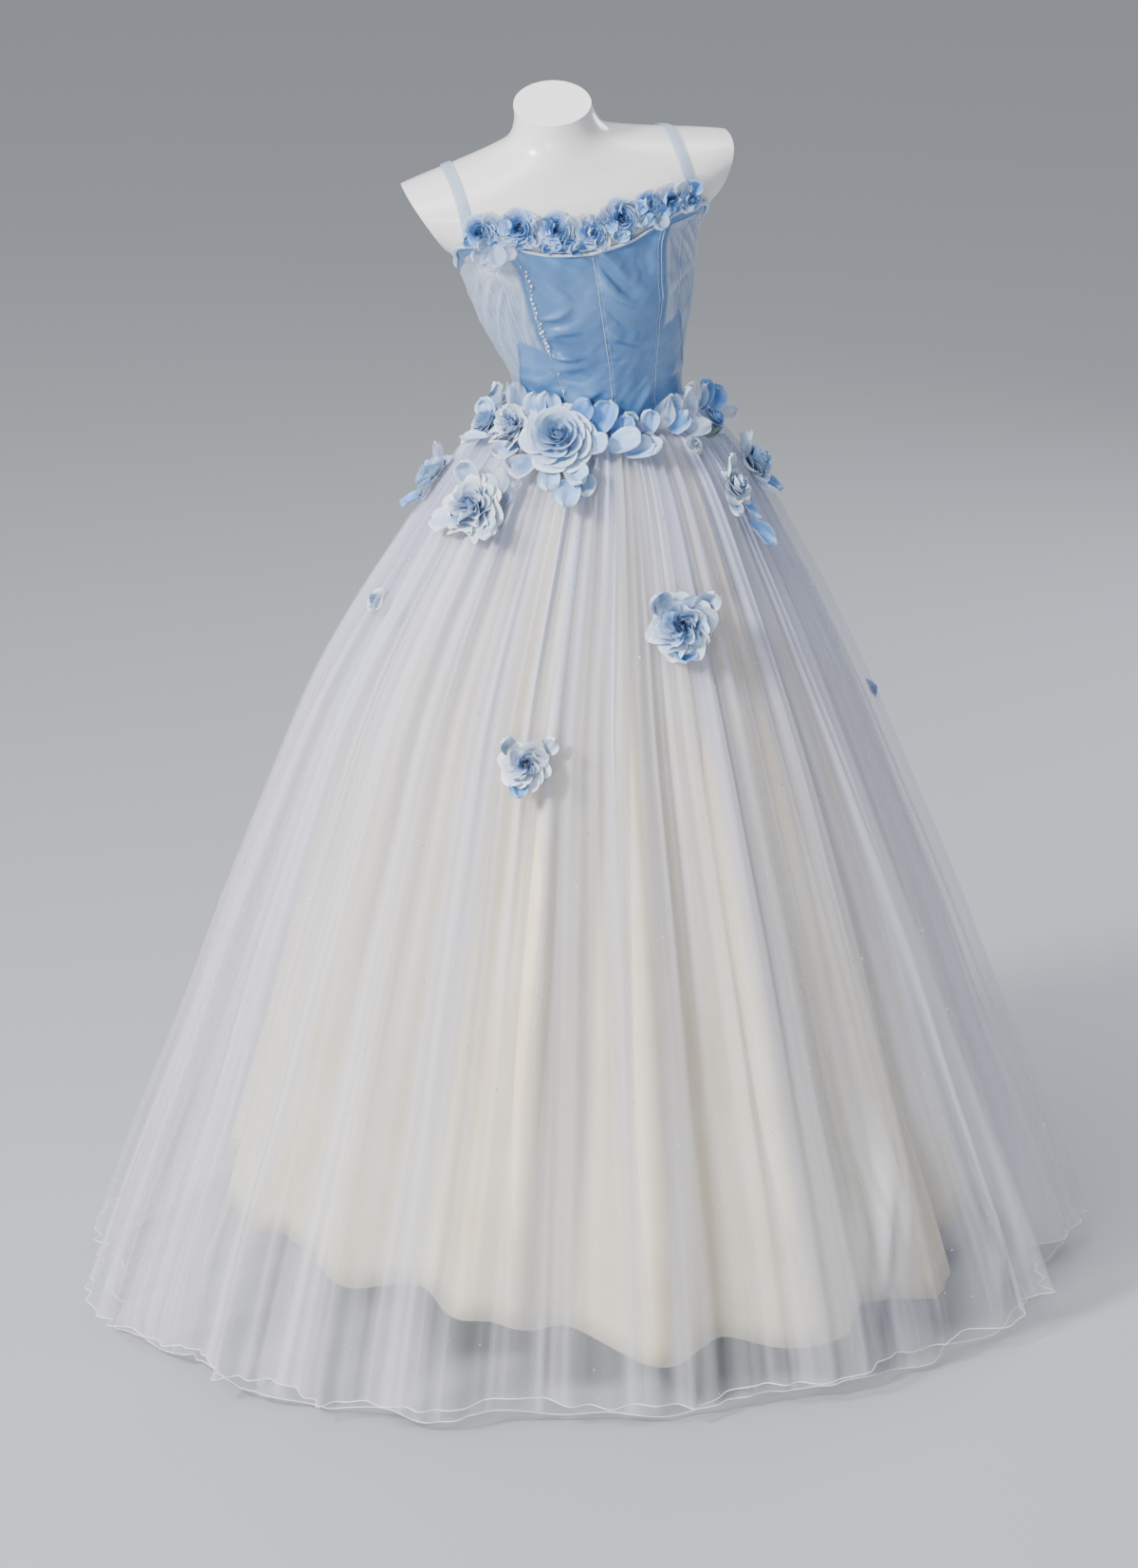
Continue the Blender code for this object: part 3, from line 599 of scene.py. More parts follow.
def grid_area(grid: Array) -> float:
    """Area of the surface through a grid of points, in square metres."""
    a, b, c, d = grid[:-1, :-1], grid[:-1, 1:], grid[1:, 1:], grid[1:, :-1]
    halves = (np.cross(b - a, c - a), np.cross(c - a, d - a))
    return float(sum(np.linalg.norm(half, axis=-1).sum() for half in halves) / 2.0)


def dress_piece(piece: Piece, nodes: Iterable[str] = ()) -> Piece:
    """Fixes a piece to the dress's one body and hides the CAD nodes that it replaces.

    Args:
        piece: A finished piece.
        nodes: The CAD nodes that the piece replaces.

    Returns:
        The same piece.
    """
    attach(piece, ROOT)
    if nodes:
        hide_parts(*nodes)
    LOG.info("%s: %d faces", piece.name, len(piece.data.polygons))
    return piece


# Geometry node tools

class NodeTool:
    """A geometry node tree with named inputs that makes repeated trims."""

    def __init__(self, name: str, sizes: dict[str, float]) -> None:
        """Starts the tree.

        Args:
            name: The tree's name.
            sizes: Default of each named number that the tree takes.
        """
        self.sizes = sizes
        self.tree = bpy.data.node_groups.new(name, "GeometryNodeTree")
        face = self.tree.interface
        face.new_socket("Geometry", in_out="INPUT", socket_type="NodeSocketGeometry")
        for label in sizes:
            face.new_socket(label, in_out="INPUT", socket_type="NodeSocketFloat")
        face.new_socket("Finish", in_out="INPUT", socket_type="NodeSocketMaterial")
        face.new_socket("Geometry", in_out="OUTPUT", socket_type="NodeSocketGeometry")
        self.source = add_node(self.tree, "NodeGroupInput")

    def given(self, label: str) -> Socket:
        """One of the tree's named inputs."""
        return self.source.outputs[label]

    def node(self, kind: str, feeds: dict, settings: Optional[dict] = None) -> Node:
        """Adds one node to the tree."""
        return add_node(self.tree, kind, settings, feeds)

    def stone(self) -> Socket:
        """Faceted ball of the tree's radius."""
        feeds = {"Radius": self.given("Radius"), "Subdivisions": 1}
        return self.node("GeometryNodeMeshIcoSphere", feeds).outputs["Mesh"]

    def uneven(self, least: Feed, most: Feed, seed: int) -> Socket:
        """Random number for each copy."""
        feeds = {2: least, 3: most, "Seed": seed}
        return self.node("FunctionNodeRandomValue", feeds, {"data_type": "FLOAT"}).outputs[1]

    def end(self, geometry: Socket) -> None:
        """Realizes the instances, sets the finish and ends the tree."""
        for kind in ("GeometryNodeSetShadeSmooth", "GeometryNodeRealizeInstances"):
            geometry = self.node(kind, {"Geometry": geometry}).outputs["Geometry"]
        feeds = {"Geometry": geometry, "Material": self.given("Finish")}
        painted = self.node("GeometryNodeSetMaterial", feeds)
        self.node("NodeGroupOutput", {"Geometry": painted.outputs["Geometry"]})

    def end_copies(self, points: Socket, copy: Socket, **how: Socket) -> None:
        """Ends the tree with a copy of a mesh on every point.

        Args:
            points: Where the copies go.
            copy: The mesh.
            how: The Scale or the Rotation of each copy.
        """
        feeds = {"Points": points, "Instance": copy, **how}
        self.end(self.node("GeometryNodeInstanceOnPoints", feeds).outputs["Instances"])
    def run(self, name: str, base: Piece, material: Material) -> Piece:
        """Runs the tree on an object and keeps the result as a plain mesh.

        Args:
            name: The new piece's name.
            base: The object that the tree starts from, removed afterwards.
            material: The finish of what it makes.

        Returns:
            The new piece.
        """
        modifier = base.modifiers.new("tool", "NODES")
        modifier.node_group = self.tree
        for item in self.tree.interface.items_tree:
            if item.in_out == "INPUT" and item.name in self.sizes:
                modifier[item.identifier] = float(self.sizes[item.name])
            if item.in_out == "INPUT" and item.name == "Finish":
                modifier[item.identifier] = material
        base.update_tag()
        graph = bpy.context.evaluated_depsgraph_get()
        mesh = bpy.data.meshes.new_from_object(base.evaluated_get(graph))
        mesh.name = name
        if not mesh.materials:
            mesh.materials.append(material)
        bpy.data.objects.remove(base, do_unlink=True)
        return new_object(name, mesh)


def point_cloud(name: str, points: Array, joined: bool) -> Piece:
    """Loose points, or a line through them, for a node tool to start from."""
    mesh = bpy.data.meshes.new(name)
    edges = [(k, k + 1) for k in range(len(points) - 1)] if joined else []
    mesh.from_pydata(points.reshape(-1, 3).tolist(), edges, [])
    return new_object(name, mesh)


def cord_tool(radius: float, sides: int = 5) -> NodeTool:
    """Tool that lays a round cord along a line, such as a rolled hem."""
    tool = NodeTool("cord_along_line", {"Radius": radius})
    line = tool.node("GeometryNodeMeshToCurve", {"Mesh": tool.given("Geometry")})
    feeds = {"Resolution": sides, "Radius": tool.given("Radius")}
    ring = tool.node("GeometryNodeCurvePrimitiveCircle", feeds)
    feeds = {"Curve": line.outputs["Curve"], "Profile Curve": ring.outputs["Curve"], "Fill Caps": True}
    tool.end(tool.node("GeometryNodeCurveToMesh", feeds).outputs["Mesh"])
    return tool


def stitch_tool(spacing: float, length: float, radius: float) -> NodeTool:
    """Tool that lays running stitches along a line."""
    tool = NodeTool("stitches_along_line", {"Spacing": spacing, "Stitch length": length, "Radius": radius})
    line = tool.node("GeometryNodeMeshToCurve", {"Mesh": tool.given("Geometry")})
    feeds = {"Curve": line.outputs["Curve"], "Length": tool.given("Spacing")}
    evened = tool.node("GeometryNodeCurveToPoints", feeds, {"mode": "LENGTH"})
    feeds = {"Vertices": 5, "Radius": tool.given("Radius"), "Depth": tool.given("Stitch length")}
    stitch = tool.node("GeometryNodeMeshCylinder", feeds)
    feeds = {"Vector": evened.outputs["Tangent"]}
    turn = tool.node("FunctionNodeAlignRotationToVector", feeds, {"axis": "Z"})
    tool.end_copies(evened.outputs["Points"], stitch.outputs["Mesh"], Rotation=turn.outputs["Rotation"])
    return tool


def bead_tool(radius: float, seed: int, least: float = 0.55, most: float = 1.25) -> NodeTool:
    """Tool that sets a faceted stone on every point, of uneven sizes."""
    tool = NodeTool("stones_on_points", {"Radius": radius, "Least": least, "Most": most})
    points = tool.node("GeometryNodeMeshToPoints", {"Mesh": tool.given("Geometry")})
    uneven = tool.uneven(tool.given("Least"), tool.given("Most"), seed)
    tool.end_copies(points.outputs["Points"], tool.stone(), Scale=uneven)
    return tool


def glitter_tool(radius: float, per_square_metre: float, seed: int) -> NodeTool:
    """Tool that scatters glitter dots over a cloth."""
    tool = NodeTool("glitter_on_cloth", {"Radius": radius, "Density": per_square_metre})
    feeds = {"Mesh": tool.given("Geometry"), "Density": tool.given("Density"), "Seed": seed}
    points = tool.node("GeometryNodeDistributePointsOnFaces", feeds)
    tool.end_copies(points.outputs["Points"], tool.stone(), Scale=tool.uneven(0.4, 1.3, seed + 1))
    return tool


# The body that the cloth lies on

@dataclass(frozen=True)
class Torso:
    """General dress form: sections along an axis that leans above the waist."""

    waist_height: float = 1.142
    side_lean: float = 11.3
    side_tilt: float = 8.0
    forward_lean: float = 10.0
    bend_start: float = -0.04
    bend_end: float = 0.06
    bust_rise: float = 0.007
    bust_height: float = 0.165
    bust_span: float = 0.055
    bust_angle: float = 40.0
    bust_spread: float = 24.0
    # Up, half width, depth to the front and depth to the back
    sections: tuple[tuple[float, float, float, float], ...] = (
        (-0.280, 0.146, 0.085, 0.100), (-0.180, 0.156, 0.090, 0.110), (-0.080, 0.127, 0.085, 0.085),
        (0.000, 0.0945, 0.077, 0.074), (0.030, 0.099, 0.079, 0.076), (0.064, 0.109, 0.084, 0.080),
        (0.106, 0.123, 0.091, 0.085), (0.138, 0.130, 0.096, 0.088), (0.170, 0.136, 0.100, 0.090),
        (0.200, 0.149, 0.101, 0.090), (0.215, 0.166, 0.099, 0.089), (0.232, 0.190, 0.094, 0.087),
        (0.250, 0.215, 0.085, 0.082), (0.262, 0.225, 0.079, 0.077), (0.270, 0.222, 0.073, 0.073),
        (0.278, 0.200, 0.068, 0.069), (0.286, 0.160, 0.063, 0.065), (0.293, 0.127, 0.060, 0.062),
        (0.301, 0.091, 0.056, 0.059), (0.311, 0.062, 0.052, 0.056), (0.325, 0.050, 0.048, 0.052),
        (0.345, 0.0445, 0.046, 0.049), (0.400, 0.0425, 0.045, 0.047),
    )
    tables: dict[str, SmoothTable] = field(default_factory=dict)

    def __post_init__(self) -> None:
        """Turns the sections' columns into smooth curves."""
        self.tables.update(section_tables(self.sections))

    def centre(self, up: Array) -> Array:
        """Points on the axis."""
        bend = self.bend_end - self.bend_start
        bent = np.clip(up - self.bend_start, 0.0, bend)
        leaned = bent**2 / (2.0 * bend) + np.maximum(up - self.bend_end, 0.0)
        height = self.waist_height + np.where(up > 0.0, up * math.cos(math.radians(self.forward_lean)), up)
        aside = -leaned * math.tan(math.radians(self.side_lean))
        forward = -leaned * math.tan(math.radians(self.forward_lean))
        return stacked(aside, forward, height)

    def placed(self, side: Array, back: Array, up: Array) -> Array:
        """Points from offsets to the wearer's left, to the back and up the torso."""
        share = np.clip((up - self.bend_start) / (self.bend_end - self.bend_start), 0.0, 1.0)
        forward = np.radians(self.forward_lean) * share
        aside = -np.radians(self.side_tilt) * share
        lifted = back * np.sin(forward)
        x = side * np.cos(aside) + lifted * np.sin(aside)
        y = back * np.cos(forward)
        z = -side * np.sin(aside) + lifted * np.cos(aside)
        return self.centre(up) + stacked(x, y, z)

    def bust(self, angle: Array, up: Array) -> Array:
        """Rise of the bust over the plain sections."""
        height = bell(up - self.bust_height, self.bust_span)
        spread = bell(np.abs(angle_from(angle, 0.0)) - self.bust_angle, self.bust_spread)
        return self.bust_rise * height * spread

    def point(self, angle: Array, up: Array, out: Array = 0.0) -> Array:
        """Points at a distance out from the form's surface."""
        angle, up = np.broadcast_arrays(np.asarray(angle, float), np.asarray(up, float))
        turn = np.radians(angle)
        front = np.cos(turn) > 0.0
        depth = np.where(front, self.tables["front"].at(up), self.tables["back"].at(up))
        rise = out + self.bust(angle, up)
        side = self.tables["side"].at(up) + rise
        return self.placed(side * np.sin(turn), -(depth + rise) * np.cos(turn), up)


TORSO = Torso()
NECKLINE = SmoothTable(
    (0, 16, 27, 36, 47, 66, 90, 135, 180),
    (0.2095, 0.2145, 0.2250, 0.2310, 0.2300, 0.2070, 0.1800, 0.1820, 0.1900),
)
WAIST_SEAM = SmoothTable((0.0, 30.0, 90.0, 180.0), (-0.030, -0.022, -0.015, -0.015))


def neckline_up(angle: Array) -> Array:
    """Height of the bodice's top edge."""
    return NECKLINE.at(np.abs(angle_from(angle, 0.0)))


def seam_up(angle: Array) -> Array:
    """Height of the waist seam."""
    return WAIST_SEAM.at(np.abs(angle_from(angle, 0.0)))


# Dress form

@dataclass
class DressForm:
    """White limbless form with flat neck and arm cuts, on a steel pole and plate."""

    finishes: Finishes
    columns: int = 120
    rows: int = 150
    low: float = -0.280
    neck_cut: float = 0.351
    neck_tip: float = 11.0
    arm_cut_side: float = 0.140
    arm_cut_up: float = 0.180
    arm_cut_tip: float = 27.0
    rim_width: float = 0.0035

    def build(self) -> None:
        """Makes the torso and finishes the stand."""
        body = bmesh.new()
        angles = np.linspace(0.0, 360.0, self.columns, endpoint=False)
        ups = np.linspace(self.low, 0.40, self.rows)
        grid = TORSO.point(angles[None, :], ups[:, None])
        rows = [[body.verts.new(point) for point in row] for row in grid]
        for lower, upper in zip(rows, rows[1:]):
            for c in range(self.columns):
                n = (c + 1) % self.columns
                body.faces.new((lower[c], lower[n], upper[n], upper[c]))
        body.faces.new(rows[0][::-1])
        body.faces.new(rows[-1])
        self._cut(body)
        bmesh.ops.recalc_face_normals(body, faces=body.faces)
        mesh = bpy.data.meshes.new("form_body")
        body.to_mesh(mesh)
        body.free()
        mesh.materials.append(self.finishes.lacquer)
        mesh.shade_smooth()
        mesh.set_sharp_from_angle(angle=math.radians(35.0))
        dress_piece(new_object("form_body", mesh), ["form_torso"])
        for node in ("form_pole", "form_base"):
            for place in frame["nodes"][node].material_slots:
                place.material = self.finishes.steel

    def _cut(self, body: bmesh.types.BMesh) -> None:
        """Cuts the neck and both arms flat and closes the cuts."""

        def spot(side: float, back: float, up: float) -> Vector:
            """Point of the torso at offsets from its axis."""
            return Vector(TORSO.placed(np.array(side), np.array(back), np.array(up)))

        origin = spot(0.0, 0.0, self.neck_cut)
        x = spot(1.0, 0.0, self.neck_cut) - origin
        y = spot(0.0, 1.0, self.neck_cut) - origin
        turn = Matrix((x, y, x.cross(y))).transposed()
        axis = turn.col[2]
        level = spot(0.0, 0.0, self.arm_cut_up)
        neck = turn @ Matrix.Rotation(math.radians(self.neck_tip), 3, "X") @ Vector((0.0, 0.0, 1.0))
        cuts = [(origin, neck)]
        tip = math.radians(self.arm_cut_tip)
        for sign in (-1.0, 1.0):
            outward = turn @ Vector((sign * math.cos(tip), 0.0, -math.sin(tip)))
            cuts.append((spot(sign * self.arm_cut_side, 0.0, self.arm_cut_up), outward))
        for point, outward in cuts:
            above = [v for v in body.verts if (v.co - level).dot(axis) > -0.002]
            inside = set(above)
            edges = [e for e in body.edges if inside.issuperset(e.verts)]
            faces = [f for f in body.faces if inside.issuperset(f.verts)]
            cut = bmesh.ops.bisect_plane(
                body, geom=above + edges + faces, plane_co=point, plane_no=outward, clear_outer=True
            )
            rim = [e for e in cut["geom_cut"] if isinstance(e, bmesh.types.BMEdge)]
            bmesh.ops.contextual_create(body, geom=rim)

# Bodice

@dataclass
class Bodice:
    """Eight satin panels with a binding, seams, drag lines and stones."""

    finishes: Finishes
    clearance: float = 0.0015
    wall: float = 0.0011
    panel_columns: int = 5
    last_column: float = 20.0
    princess_waist: float = 33.0
    princess_top: float = 31.0
    princess_bend: float = 0.55
    back_princess: float = 138.0
    seam_dip: float = 0.0004
    seam_dip_width: float = 0.0014
    pucker_rise: float = 0.00022
    pucker_width: float = 0.006
    pucker_length: float = 0.011
    crease_strength: float = 2.0
    crease_spread: float = 1.5
    crease_lean: float = 0.35
    crease_steps: int = 25
    # Columns past a panel's edge from which a crease still reaches it
    crease_reach: float = 1.5
    billow_depth: float = 0.0005
    seam_gap: float = 0.0003
    fine_columns: int = 64
    fine_rows: int = 128
    plain_columns: int = 40
    plain_rows: int = 84
    column_metres: float = 0.0145
    height_metres: float = 0.24
    binding_width: float = 0.012
    # Drag lines: panel column and share of three points, then width and rise in millimetres.
    # Columns count five to a panel from the front centre. A negative rise is a valley.
    creases: tuple[tuple[float, ...], ...] = (
        (-4.5, 1, -3.6, 0.89, -2.1, 0.78, 8.5, 2.2), (-4.8, 0.88, -4.2, 0.8, -3.4, 0.73, 6, -1.4),
        (-2.7, 0.97, -1.5, 0.92, -0.2, 0.84, 4.5, 1.2),
        (-3.5, 0.87, -2.1, 0.8, -0.4, 0.72, 5.5, -1.4),
        (-4.6, 0.62, -3.2, 0.655, -2.1, 0.73, 2.6, 1.7),
        (-4.6, 0.585, -3.2, 0.61, -1.9, 0.66, 4, -1.2),
        (-4.5, 0.52, -2.7, 0.575, -1.4, 0.565, 4.2, 1.6),
        (-4.3, 0.475, -2.3, 0.455, -0.3, 0.49, 4.6, -2.4),
        (-4.8, 0.425, -3.3, 0.415, -0.1, 0.505, 3.2, 2.4),
        (-4.9, 0.33, -2.9, 0.37, -1.2, 0.41, 5, 1.6), (-4.6, 0.27, -3, 0.28, -1.2, 0.33, 6, -1),
        (-4.2, 0.1, -2.3, 0.17, -0.8, 0.23, 5, 1.2), (-3, 0.05, -1.6, 0.03, -0.4, 0.05, 4, -1.2),
        (0.3, 1, 1.5, 0.9, 2.8, 0.74, 3.4, 2.2), (0.5, 0.94, 1.7, 0.8, 3.3, 0.65, 5, -2.2),
        (0.4, 0.88, 1.6, 0.72, 4.8, 0.57, 6, 2.4), (0.5, 0.75, 1.9, 0.59, 4.8, 0.45, 6.5, -2),
        (0.3, 0.57, 2, 0.47, 4.8, 0.385, 4.2, 1.4), (0.3, 0.49, 2, 0.42, 4.5, 0.36, 4, -1.2),
        (0.1, 0.445, 0.8, 0.435, 1.5, 0.43, 1.8, -1),
        (0.1, 0.405, 0.8, 0.385, 1.6, 0.375, 1.8, -0.9), (2.4, 0.02, 3.8, 0.11, 4.9, 0.13, 4, 1.4),
        (3, 0.2, 4, 0.24, 4.9, 0.24, 5, -1), (4.9, 0.97, 4.6, 0.85, 4.9, 0.72, 7.5, 1.4),
        (3.4, 0.92, 3.6, 0.8, 4.6, 0.66, 6, -1), (5.3, 0.93, 5.8, 0.8, 5.3, 0.62, 3, -1.8),
        (5.2, 0.6, 6.2, 0.68, 7.6, 0.74, 4, 1.4), (5.2, 0.46, 6.4, 0.52, 8, 0.6, 5.5, -1.2),
        (-5.2, 0.6, -5.7, 0.63, -6.3, 0.69, 3, -1.8),
        (-6.4, 0.53, -6.9, 0.54, -7.2, 0.57, 2.6, -1.4), (-5.2, 0.8, -6.4, 0.86, -8, 0.88, 5, 1.4),
        (-5.3, 0.3, -6.5, 0.24, -8.5, 0.26, 5.5, 1), (-5.2, 0.14, -6.2, 0.1, -7.5, 0.12, 4.5, -1),
        (5.3, 0.22, 6.5, 0.18, 8.5, 0.2, 5.5, 1), (10.4, 0.7, 12, 0.64, 14, 0.66, 6, 1),
        (10.4, 0.3, 12.2, 0.26, 14.4, 0.3, 5, -1), (-10.4, 0.62, -12.3, 0.58, -14.2, 0.62, 6, 1.1),
        (-10.6, 0.24, -12.5, 0.22, -14.2, 0.26, 5, -1), (15.5, 0.55, 17.2, 0.5, 19.4, 0.54, 6, 0.9),
        (-15.5, 0.48, -17.5, 0.45, -19.4, 0.5, 5.5, -0.9),
        (15.4, 0.16, 17.2, 0.13, 19.5, 0.15, 4.5, 0.9),
        (-15.4, 0.18, -17.2, 0.15, -19.5, 0.17, 4.5, 1),
    )

    def column_angle(self, column: Array, share: Array) -> Array:
        """Angle of a panel column: 0 at the front centre, five columns to a panel."""
        bend = smooth_share((share - self.princess_bend) / (1.0 - self.princess_bend))
        princess = lerp(self.princess_waist, self.princess_top, bend)
        column, princess = np.broadcast_arrays(np.asarray(column, float), princess)
        count = np.abs(column) / self.panel_columns
        edges = (0.0, princess, 90.0, self.back_princess, 180.0)
        runs = [lerp(edges[k], edges[k + 1], count - k) for k in range(4)]
        angle = np.select([count < 1.0, count < 2.0, count < 3.0], runs[:3], runs[3])
        return np.sign(column) * angle

    def point(self, column: Array, share: Array, out: Array) -> Array:
        """Points on the panels at a distance out from their inside."""
        angle = self.column_angle(column, share)
        up = lerp(seam_up(angle), neckline_up(angle), share)
        return TORSO.point(angle, up, self.clearance + out)

    def crease_rise(self, column: Array, share: Array) -> Array:
        """Rise of all the drag lines over the panels."""
        rise = no_rise(column, share)
        across = column * self.column_metres
        along = share * self.height_metres
        low, high = np.min(column) - self.crease_reach, np.max(column) + self.crease_reach
        steps = np.linspace(0.0, 1.0, self.crease_steps)
        weights = ((1 - steps) ** 2, 2 * steps * (1 - steps), steps**2)
        for c0, s0, c1, s1, c2, s2, wide, tall in self.creases:
            if max(c0, c2) < low or min(c0, c2) > high:
                continue
            # The curve's handle, placed so that the line runs through its middle point
            c1, s1 = 2.0 * c1 - (c0 + c2) / 2.0, 2.0 * s1 - (s0 + s2) / 2.0
            x = sum(weight * c for weight, c in zip(weights, (c0, c1, c2))) * self.column_metres
            y = sum(weight * s for weight, s in zip(weights, (s0, s1, s2))) * self.height_metres
            best = np.zeros(rise.shape)
            for place, px, py, run, climb in zip(steps, x, y, np.gradient(x), np.gradient(y)):
                aside, above = across - px, along - py
                away = np.hypot(aside, above)
                side = (run * above - climb * aside) / (math.hypot(run, climb) * (away + 1e-5))
                width = self.crease_spread * wide * MILLIMETRE * (0.75 + 0.4 * place)
                width = width * (1.0 + self.crease_lean * side)
                taper = min(1.0, 0.45 + 3.0 * place) * min(1.0, 2.2 * (1.0 - place) + 0.03)
                best = np.maximum(best, bell(away, width) * taper)
            rise += self.crease_strength * tall * MILLIMETRE * best
        return rise + self.billow(across, along)

    def billow(self, across: Array, along: Array) -> Array:
        """Broad shallow waves that the pull of the seams leaves in the satin."""
        broad = np.sin(150.0 * across + 95.0 * along + 0.8) * np.sin(120.0 * along - 60.0 * across)
        fine = np.sin(260.0 * across - 210.0 * along + 2.0) * np.sin(85.0 * along + 1.0)
        return self.billow_depth * (broad + 0.5 * fine)

    def seam_rise(self, column: Array, share: Array) -> Array:
        """Dip at each seam, with small puckers beside it."""
        nearest = np.abs(column - self.panel_columns * np.round(column / self.panel_columns))
        away = nearest * self.column_metres
        dip = -self.seam_dip * bell(away, self.seam_dip_width)
        phase = 2.0 * np.pi * share * self.height_metres / self.pucker_length
        phase = phase + 1.7 * np.sin(9.0 * share + column)
        return dip + self.pucker_rise * np.sin(phase) * bell(away, self.pucker_width)

    def surface(self, column: Array, share: Array, out: float = 0.0) -> Array:
        """Points on the satin's right side, creases and seams in it, at a distance out."""
        rise = self.crease_rise(column, share) + self.seam_rise(column, share)
        rise = np.maximum(rise, 0.0003 - self.clearance)
        return self.point(column, share, self.wall + 0.0002 + rise + out)

    def cloth(self, columns: Array, shares: Array) -> Array:
        """Cloth coordinates of points on the panels, for the weave."""
        return stacked(columns * self.column_metres, shares * self.height_metres, np.array(1.0))

    def panel(self, name: str, first: float, sign: float) -> None:
        """One panel as a closed thin wall."""
        edge = self.seam_gap / 2.0 / self.column_metres
        in_front = first < 2 * self.panel_columns
        columns_wide = self.fine_columns if in_front else self.plain_columns
        columns = np.linspace(first + edge, first + self.panel_columns - edge, columns_wide)
        columns = np.sort(sign * columns)[None, :]
        shares = np.linspace(0.0015, 1.0, self.fine_rows if in_front else self.plain_rows)[:, None]
        outer = self.surface(columns, shares)
        inner = self.surface(columns, shares, -self.wall)
        cloth = self.cloth(columns, shares)
        piece = wall_piece(f"{name}_satin", inner, outer, self.finishes.satin, cloth)
        dress_piece(piece, [name])
        area = grid_area(outer)

    def binding(self) -> None:
        """Rounded binding along the neckline, open at the centre back."""
        edge = self.last_column - 0.02
        columns = np.linspace(-edge, edge, 480)[None, :]
        rows = 7
        shares = np.linspace(0.988, 1.003, rows)[:, None]
        bulge = 0.0010 * np.sin(np.pi * np.linspace(0.0, 1.0, rows))[:, None]
        base = self.wall + 0.0012
        ripple = 0.00018 * np.sin(columns * 21.0) * np.sin(columns * 3.3)
        inner = self.point(columns, shares, base + 0.0 * bulge)
        outer = self.point(columns, shares, base + 0.0012 + bulge + ripple)
        cloth = self.cloth(columns, shares)
        piece = wall_piece("neckline_piping", inner, outer, self.finishes.piping, cloth)
        dress_piece(piece, ["neckline_binding"])
        flat = (line_length(outer[rows // 2]), self.binding_width)
        grid_area(outer)

    def seam_line(self, column: float, low: float, high: float, count: int, out: float) -> Array:
        """Points along a panel column, on the satin."""
        shares = np.linspace(low, high, count)
        return self.surface(np.full(count, column), shares, out)

    def welts(self) -> None:
        """Fine raised seam lines in the pale piping satin, a painted highlight along each seam."""
        for number, column in enumerate((0.0, -5.0, 5.0, -10.0, 10.0, -15.0, 15.0, 20.0), start=1):
            base = point_cloud("welt_line", self.seam_line(column, 0.004, 0.985, 120, 0.0004), True)
            # The pale piping finish on each welt is a painted highlight along its seam
            welt = cord_tool(0.00040, 6).run(f"seam_welt_{number}", base, self.finishes.piping)
            dress_piece(welt)

    def stitches(self) -> None:
        """Top stitching beside the front seams and under the piping."""
        lines = [(0.28, 0.01, 0.965)]
        lines += [(column, 0.01, 0.95) for column in (-4.72, 4.72, -15.2, 15.2, 19.75, -19.75)]
        for number, (column, low, high) in enumerate(lines, start=1):
            base = point_cloud("stitch_line", self.seam_line(column, low, high, 90, 0.0001), True)
            tool = stitch_tool(0.0042, 0.0030, 0.00022)
            dress_piece(tool.run(f"seam_stitches_{number}", base, self.finishes.thread))

    def stones(self) -> None:
        """Stones and beads down the right front princess seam."""
        rng = np.random.RandomState(7)
        runs = (np.linspace(0.90, 0.66, 11), np.linspace(0.655, 0.43, 17), (0.31, 0.19, 0.175, 0.11))
        shares = np.concatenate(runs)
        columns = -4.86 + rng.uniform(-0.10, 0.16, len(shares))
        points = self.surface(columns, shares, 0.0010)
        base = point_cloud("stone_points", points, False)
        dress_piece(bead_tool(0.0017, 3).run("princess_stones", base, self.finishes.stone))

    def build(self) -> None:
        """Makes every piece of the bodice."""
        names = ("bodice_front", "bodice_side_front", "bodice_side_back", "bodice_back")
        for number, name in enumerate(names):
            for side, sign in (("right", -1.0), ("left", 1.0)):
                self.panel(f"{name}_{side}", number * self.panel_columns, sign)
        self.binding()
        self.welts()
        self.stitches()
        self.stones()


